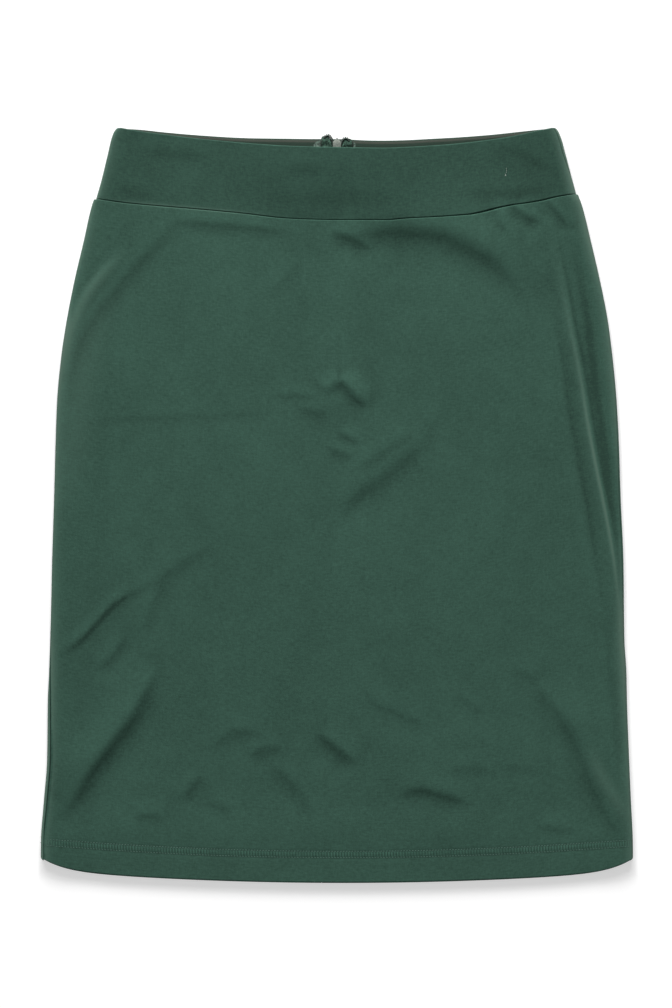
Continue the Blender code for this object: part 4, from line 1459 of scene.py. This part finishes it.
# %% Slider cap
CAP = chart(
    "down   half",
    (7.9, 0.15),
    (8.15, 0.6),
    (9.0, 1.6),
    (9.9, 2.5),
    (11.2, 3.4),
    (12.4, 3.6),
    (15.6, 3.4),
    (16.05, 2.9),
)
CAP_MIDDLE, CAP_HALF_HEIGHT, CAP_POWER = 6.1, 1.02, 2 / 5  # the power is 2 / n
CAP_DOWN = np.concatenate([  # closer at its two rounded ends
    np.linspace(7.9, 9, 8)[:-1], np.linspace(9, 15.3, 14), [15.6, 15.85, 16.0, 16.05],
])
CAP_SIDES = 40
NOSE_FROM, TAIL_FROM, TAIL_OVER, TAIL_DROP = 7.3, 15.2, 0.85, 0.5  # how it gets lower at its ends
EDGE_PAINT, PAINT_FADE = 0.15, 0.4  # painted shade this far in from the edges, and the highlight's fade
NOSE_PAINT = 0.6  # and less far in from its nose
TAIL_SHADE, LESS_FROM, LESS_OVER = 0.45, 10.0, 3.5  # painted shade towards the tail


def slider_cap(finish):
    """Section: half width times cos^p, half height times sin^p, each keeping its sign."""
    down = CAP_DOWN[:, None]
    half = follow(CAP, "down", "half", down)
    tail = 1 - TAIL_DROP * ease((down - TAIL_FROM) / TAIL_OVER)
    lower = np.minimum(ease(down - NOSE_FROM), tail)
    a = np.linspace(0, 2 * math.pi, CAP_SIDES, endpoint=False)[None, :]
    x = half * np.sign(np.cos(a)) * np.abs(np.cos(a)) ** CAP_POWER
    z = CAP_MIDDLE + CAP_HALF_HEIGHT * lower * np.sign(np.sin(a)) * np.abs(np.sin(a)) ** CAP_POWER
    rings = np.stack([x, np.broadcast_to(y_at(down), x.shape), z], axis=-1)
    piece = tube_mesh("zip_slider_cap", rings[None], finish)
    # painted highlight on the cap's top, kept off its edges and weaker towards the tail
    from_edge = np.minimum(half - np.abs(x), (down - down[0]) * NOSE_PAINT)
    on_top = ease((from_edge - EDGE_PAINT) / PAINT_FADE) * (np.sin(a) > 0)
    add_trait(piece, "rubbed", on_top * (1 - TAIL_SHADE * ease((down - LESS_FROM) / LESS_OVER)))
    return piece


def painted_finish():
    """Painted metal: dark green paint with a fine orange-peel.

    The cap's top is painted pale grey as a highlight, with painted shade at its edges and tail.
    """
    finish = Finish("painted_metal", {"Metallic": 0.15, "Specular IOR Level": 0.5})
    peel, specks = finish.noise_in_space(2500.0), finish.noise_in_space(700.0, 3.0)
    # painted highlight: the top of the cap goes pale grey
    top_highlight = finish.attribute("rubbed") * (0.75 + finish.noise_in_space(1100.0) * 0.7)
    paint = finish.between(specks * 0.5 + 0.5, (0.020, 0.036, 0.029), (0.050, 0.075, 0.062))
    colour = finish.between(top_highlight, paint, (0.31, 0.335, 0.295))
    return finish.done(colour, specks * 0.1 + 0.42, peel, 0.00003, 0.5)


painted_metal = painted_finish()
cap = slider_cap(painted_metal)
for node in ("zip_slider", "zip_pull"):
    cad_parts[node].data.materials.clear()
    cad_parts[node].data.materials.append(painted_metal)
print(f"slider: {2 * CAP['half'].max():.1f} mm wide")

# %% [markdown]
# ## Stitches
#
# The hem is turned up and sewn with two needles at once, which leaves two parallel rows. Each
# stitch is a short stretch of thread that lies on the cloth and dives into it at both ends. The
# rows are thousands of small, equal things, so each one gets only a few dozen faces, and all of
# them are computed as one array.

# %% Thread
STITCH_LENGTH, THREAD = 1.75, 0.23  # the second is the thread's radius
STITCH_RINGS, STITCH_SIDES = 5, 6
END_CLEAR = 0.3  # no stitch starts closer than this to a seam
PROUD, SINK, TAPER = 0.45, 1.1, 0.8  # a stitch's height, how far its ends dive, and how they thin


def stitches(name, line, out, finish):
    """Tubes along a line. Along each, u runs from -1 to 1.

    Its radius is r sqrt(1 - 0.8 u^4), and its centre is 0.45 r above the line, less 1.1 r u^2.
    """
    run = lengths_along(line[:, None], 0)[:, 0]
    run -= run[len(run) // 2]
    first = np.ceil((run[0] + END_CLEAR) / STITCH_PITCH)
    last = np.floor((run[-1] - END_CLEAR) / STITCH_PITCH)
    u = np.linspace(-1, 1, STITCH_RINGS)
    at = (np.arange(first, last)[:, None] + 0.5) * STITCH_PITCH + u * STITCH_LENGTH / 2
    centre = np.stack([np.interp(at, run, values) for values in line.T], axis=-1)
    up = np.stack([np.interp(at, run, values) for values in out.T], axis=-1)
    along = np.gradient(centre, axis=1)
    along /= np.linalg.norm(along, axis=-1, keepdims=True)
    up -= np.sum(up * along, axis=-1, keepdims=True) * along
    up /= np.linalg.norm(up, axis=-1, keepdims=True)
    across = np.cross(along, up)
    centre = centre + up * (THREAD * (PROUD - SINK * u**2))[None, :, None]
    radius = (THREAD * np.sqrt(1 - TAPER * u**4))[None, :, None, None]
    a = np.linspace(0, 2 * math.pi, STITCH_SIDES, endpoint=False)[None, None, :, None]
    tubes = centre[:, :, None] + radius * (np.cos(a) * up[:, :, None] + np.sin(a) * across[:, :, None])
    tubes[..., 2] = np.maximum(tubes[..., 2], 0)
    return tube_mesh(name, tubes, finish)


def thread_finish():
    """Spun polyester thread: two plies that twist round each other, as a slanted wave in space."""
    gloss = {"Specular IOR Level": 0.3, "Sheen Weight": 0.1, "Sheen Roughness": 0.4}
    finish = Finish("sewing_thread", gloss)
    x, y = finish.parts(finish.space_place())
    ply = ((x + y * 0.8) * (2 * math.pi / 0.0005)).sine()
    share = ply * 0.2 + finish.noise_in_space(500.0) * 0.5 + 0.5
    colour = finish.between(share, (0.040, 0.088, 0.068), (0.075, 0.145, 0.115))
    return finish.done(colour, share * 0.1 + 0.6, ply, 0.00008, 0.6)


def needle_line(row):
    """A stitching row as an edge across the skirt."""
    return lambda across: stitch_down(across, row)


thread = thread_finish()
sewn = {"front": [], "left": [], "right": []}
one_row = np.ones(1)
for needle in range(len(STITCH_UP)):
    line = needle_line(needle)
    points, out = front_face(PANELS, TURNS, FRONT_PLACES, one_row, line, line)
    sewn["front"].append(stitches(f"hem_stitches_front_{needle}", points[0], out[0], thread))
    for side, name in SIDES.items():
        points, out = back_face(PANELS, side, TURNS, BACK_PLACES, one_row, line, line, back_height)
        sewn[name].append(stitches(f"hem_stitches_back_{name}_{needle}", points[0], out[0], thread))
corners_each = STITCH_RINGS * STITCH_SIDES
print(f"hem: {len(sewn['front'][0].data.vertices) // corners_each} stitches in each front row")

# %% [markdown]
# ## A fibre of lint
#
# Dark jersey always carries a fibre or two. This one lies near the right end of the waistband,
# with a small knot at its lower end.

# %% Lint
LINT_X, LINT_DOWN, LINT_LENGTH = 135.5, 31.2, 6.6
LINT_RADIUS, KNOT_RADIUS, KNOT_AT, KNOT_REACH = 0.06, 0.42, 0.94, 0.055


def lint(finish):
    """A thin bent fibre on the waistband, thicker at the end where it is knotted."""
    t = np.linspace(0, 1, 24)
    x = LINT_X - 0.5 * t + 0.25 * np.sin(t * 5.0)
    down = LINT_DOWN + LINT_LENGTH * t
    z = front_height(BANDS, x, down) + 0.12
    radius = LINT_RADIUS + KNOT_RADIUS * np.exp(-(((t - KNOT_AT) / KNOT_REACH) ** 2))
    path = np.stack([x, y_at(down), z], axis=-1)
    return swept("lint_fibre", path, np.broadcast_to(UP, path.shape), radius, 8, finish)


def lint_finish():
    """Pale fuzz, with a soft sheen."""
    finish = Finish("lint", {"Sheen Weight": 0.3, "Sheen Roughness": 0.5})
    fuzz = finish.noise_in_space(3000.0)
    colour = finish.between(fuzz * 0.6 + 0.5, (0.16, 0.22, 0.19), (0.50, 0.56, 0.52))
    return finish.done(colour, fuzz * 0.1 + 0.8)


fibre = lint(lint_finish())
print(f"lint: one fibre, {LINT_LENGTH} mm long")

# %% [markdown]
# ## What each piece belongs to
#
# The whole skirt is one body of the frame, and only the pull tab swings. Each cloth piece takes
# the place of its plain solid.

# %% Bodies and solids
for node, piece in cloth.items():
    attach(piece, "skirt")
    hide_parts(node)
    "zip_tape" if "tape" in node else "jersey"
zip_trim = [*coils.values(), *cords.values(), *tape_ends.values(), cap]
for piece in (*sewn["front"], allowance, *sewn["left"], *sewn["right"], *zip_trim, fibre):
    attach(piece, "skirt")
print(f"{len(cloth)} pieces of cloth in place of their solids")

# %% How many pieces of cloth
print(f"{len(cloth)} sheets declared")

# %% [markdown]
# ## Floor, light and camera
#
# The skirt lies on white paper under a large soft window. A small lamp near the waist adds the
# slow fall of light from the waist to the hem. The camera looks straight down from well above, so
# that the outline stays true.

# %% Floor
bpy.ops.mesh.primitive_plane_add(size=6, location=(0, 0, -0.0002))
floor = bpy.context.object
floor.name = "floor"
paper = Finish("paper", {
    "Base Color": (0.58, 0.58, 0.58, 1), "Roughness": 1.0, "Specular IOR Level": 0.0,
    "Emission Color": (1, 1, 1, 1), "Emission Strength": 0.50,
})
floor.data.materials.append(paper.made)
print("floor: a sheet of paper, 6 m wide")

# %% Light
world = bpy.data.worlds.new("studio")
bpy.context.scene.world = world
world.use_nodes = True
background = world.node_tree.nodes["Background"]
background.inputs["Color"].default_value = (1, 1, 1, 1)
background.inputs["Strength"].default_value = 0.23


def lamp_at(name, kind, place, aim, strength, **settings):
    """A lamp at a place, turned to its aim."""
    lamp = bpy.data.lights.new(name, kind)
    lamp.energy = strength
    for setting, value in settings.items():
        setattr(lamp, setting, value)
    light = bpy.data.objects.new(name, lamp)
    bpy.context.scene.collection.objects.link(light)
    light.location = place
    away = light.location - Vector(aim)
    light.rotation_euler = away.to_track_quat("Z", "Y").to_euler()
    return lamp


lamp_at("window", "SUN", (-0.12, 1.4, 0.47), aim=(0, 0, 0), strength=4.4, angle=math.radians(34))
near = lamp_at(
    "near_softbox", "AREA", (-0.05, 0.66, 0.33), aim=(0, -0.05, 0), strength=9.0,
    shape="DISK", size=0.24,
)
near.use_nodes = True
falloff = near.node_tree.nodes.new("ShaderNodeLightFalloff")
falloff.inputs["Strength"].default_value = 1.0
glow = near.node_tree.nodes["Emission"]
near.node_tree.links.new(falloff.outputs["Constant"], glow.inputs["Strength"])
print("light: a wide window from the waist's side, and a small lamp near it")

# %% Camera
PIXEL, FRAME_HEIGHT = 0.8, 1008  # millimetres in a pixel, and the picture's height in pixels
SENSOR = 36  # also in millimetres, along the picture's longer side
CAMERA_HEIGHT, CLOTH_LEVEL = 1.8, 0.004
CAMERA_X, CAMERA_Y = -0.75, 1.45
camera_data = bpy.data.cameras.new("camera")
camera_data.sensor_width = SENSOR
camera_data.lens = SENSOR * (CAMERA_HEIGHT - CLOTH_LEVEL) / (FRAME_HEIGHT * PIXEL * MM)
camera = bpy.data.objects.new("camera", camera_data)
bpy.context.scene.collection.objects.link(camera)
camera.location = (CAMERA_X * MM, CAMERA_Y * MM, CAMERA_HEIGHT)
bpy.context.scene.camera = camera
bpy.context.scene.view_settings.view_transform = "Standard"
print(f"camera: {camera_data.lens:.0f} mm lens, {CAMERA_HEIGHT} m up")
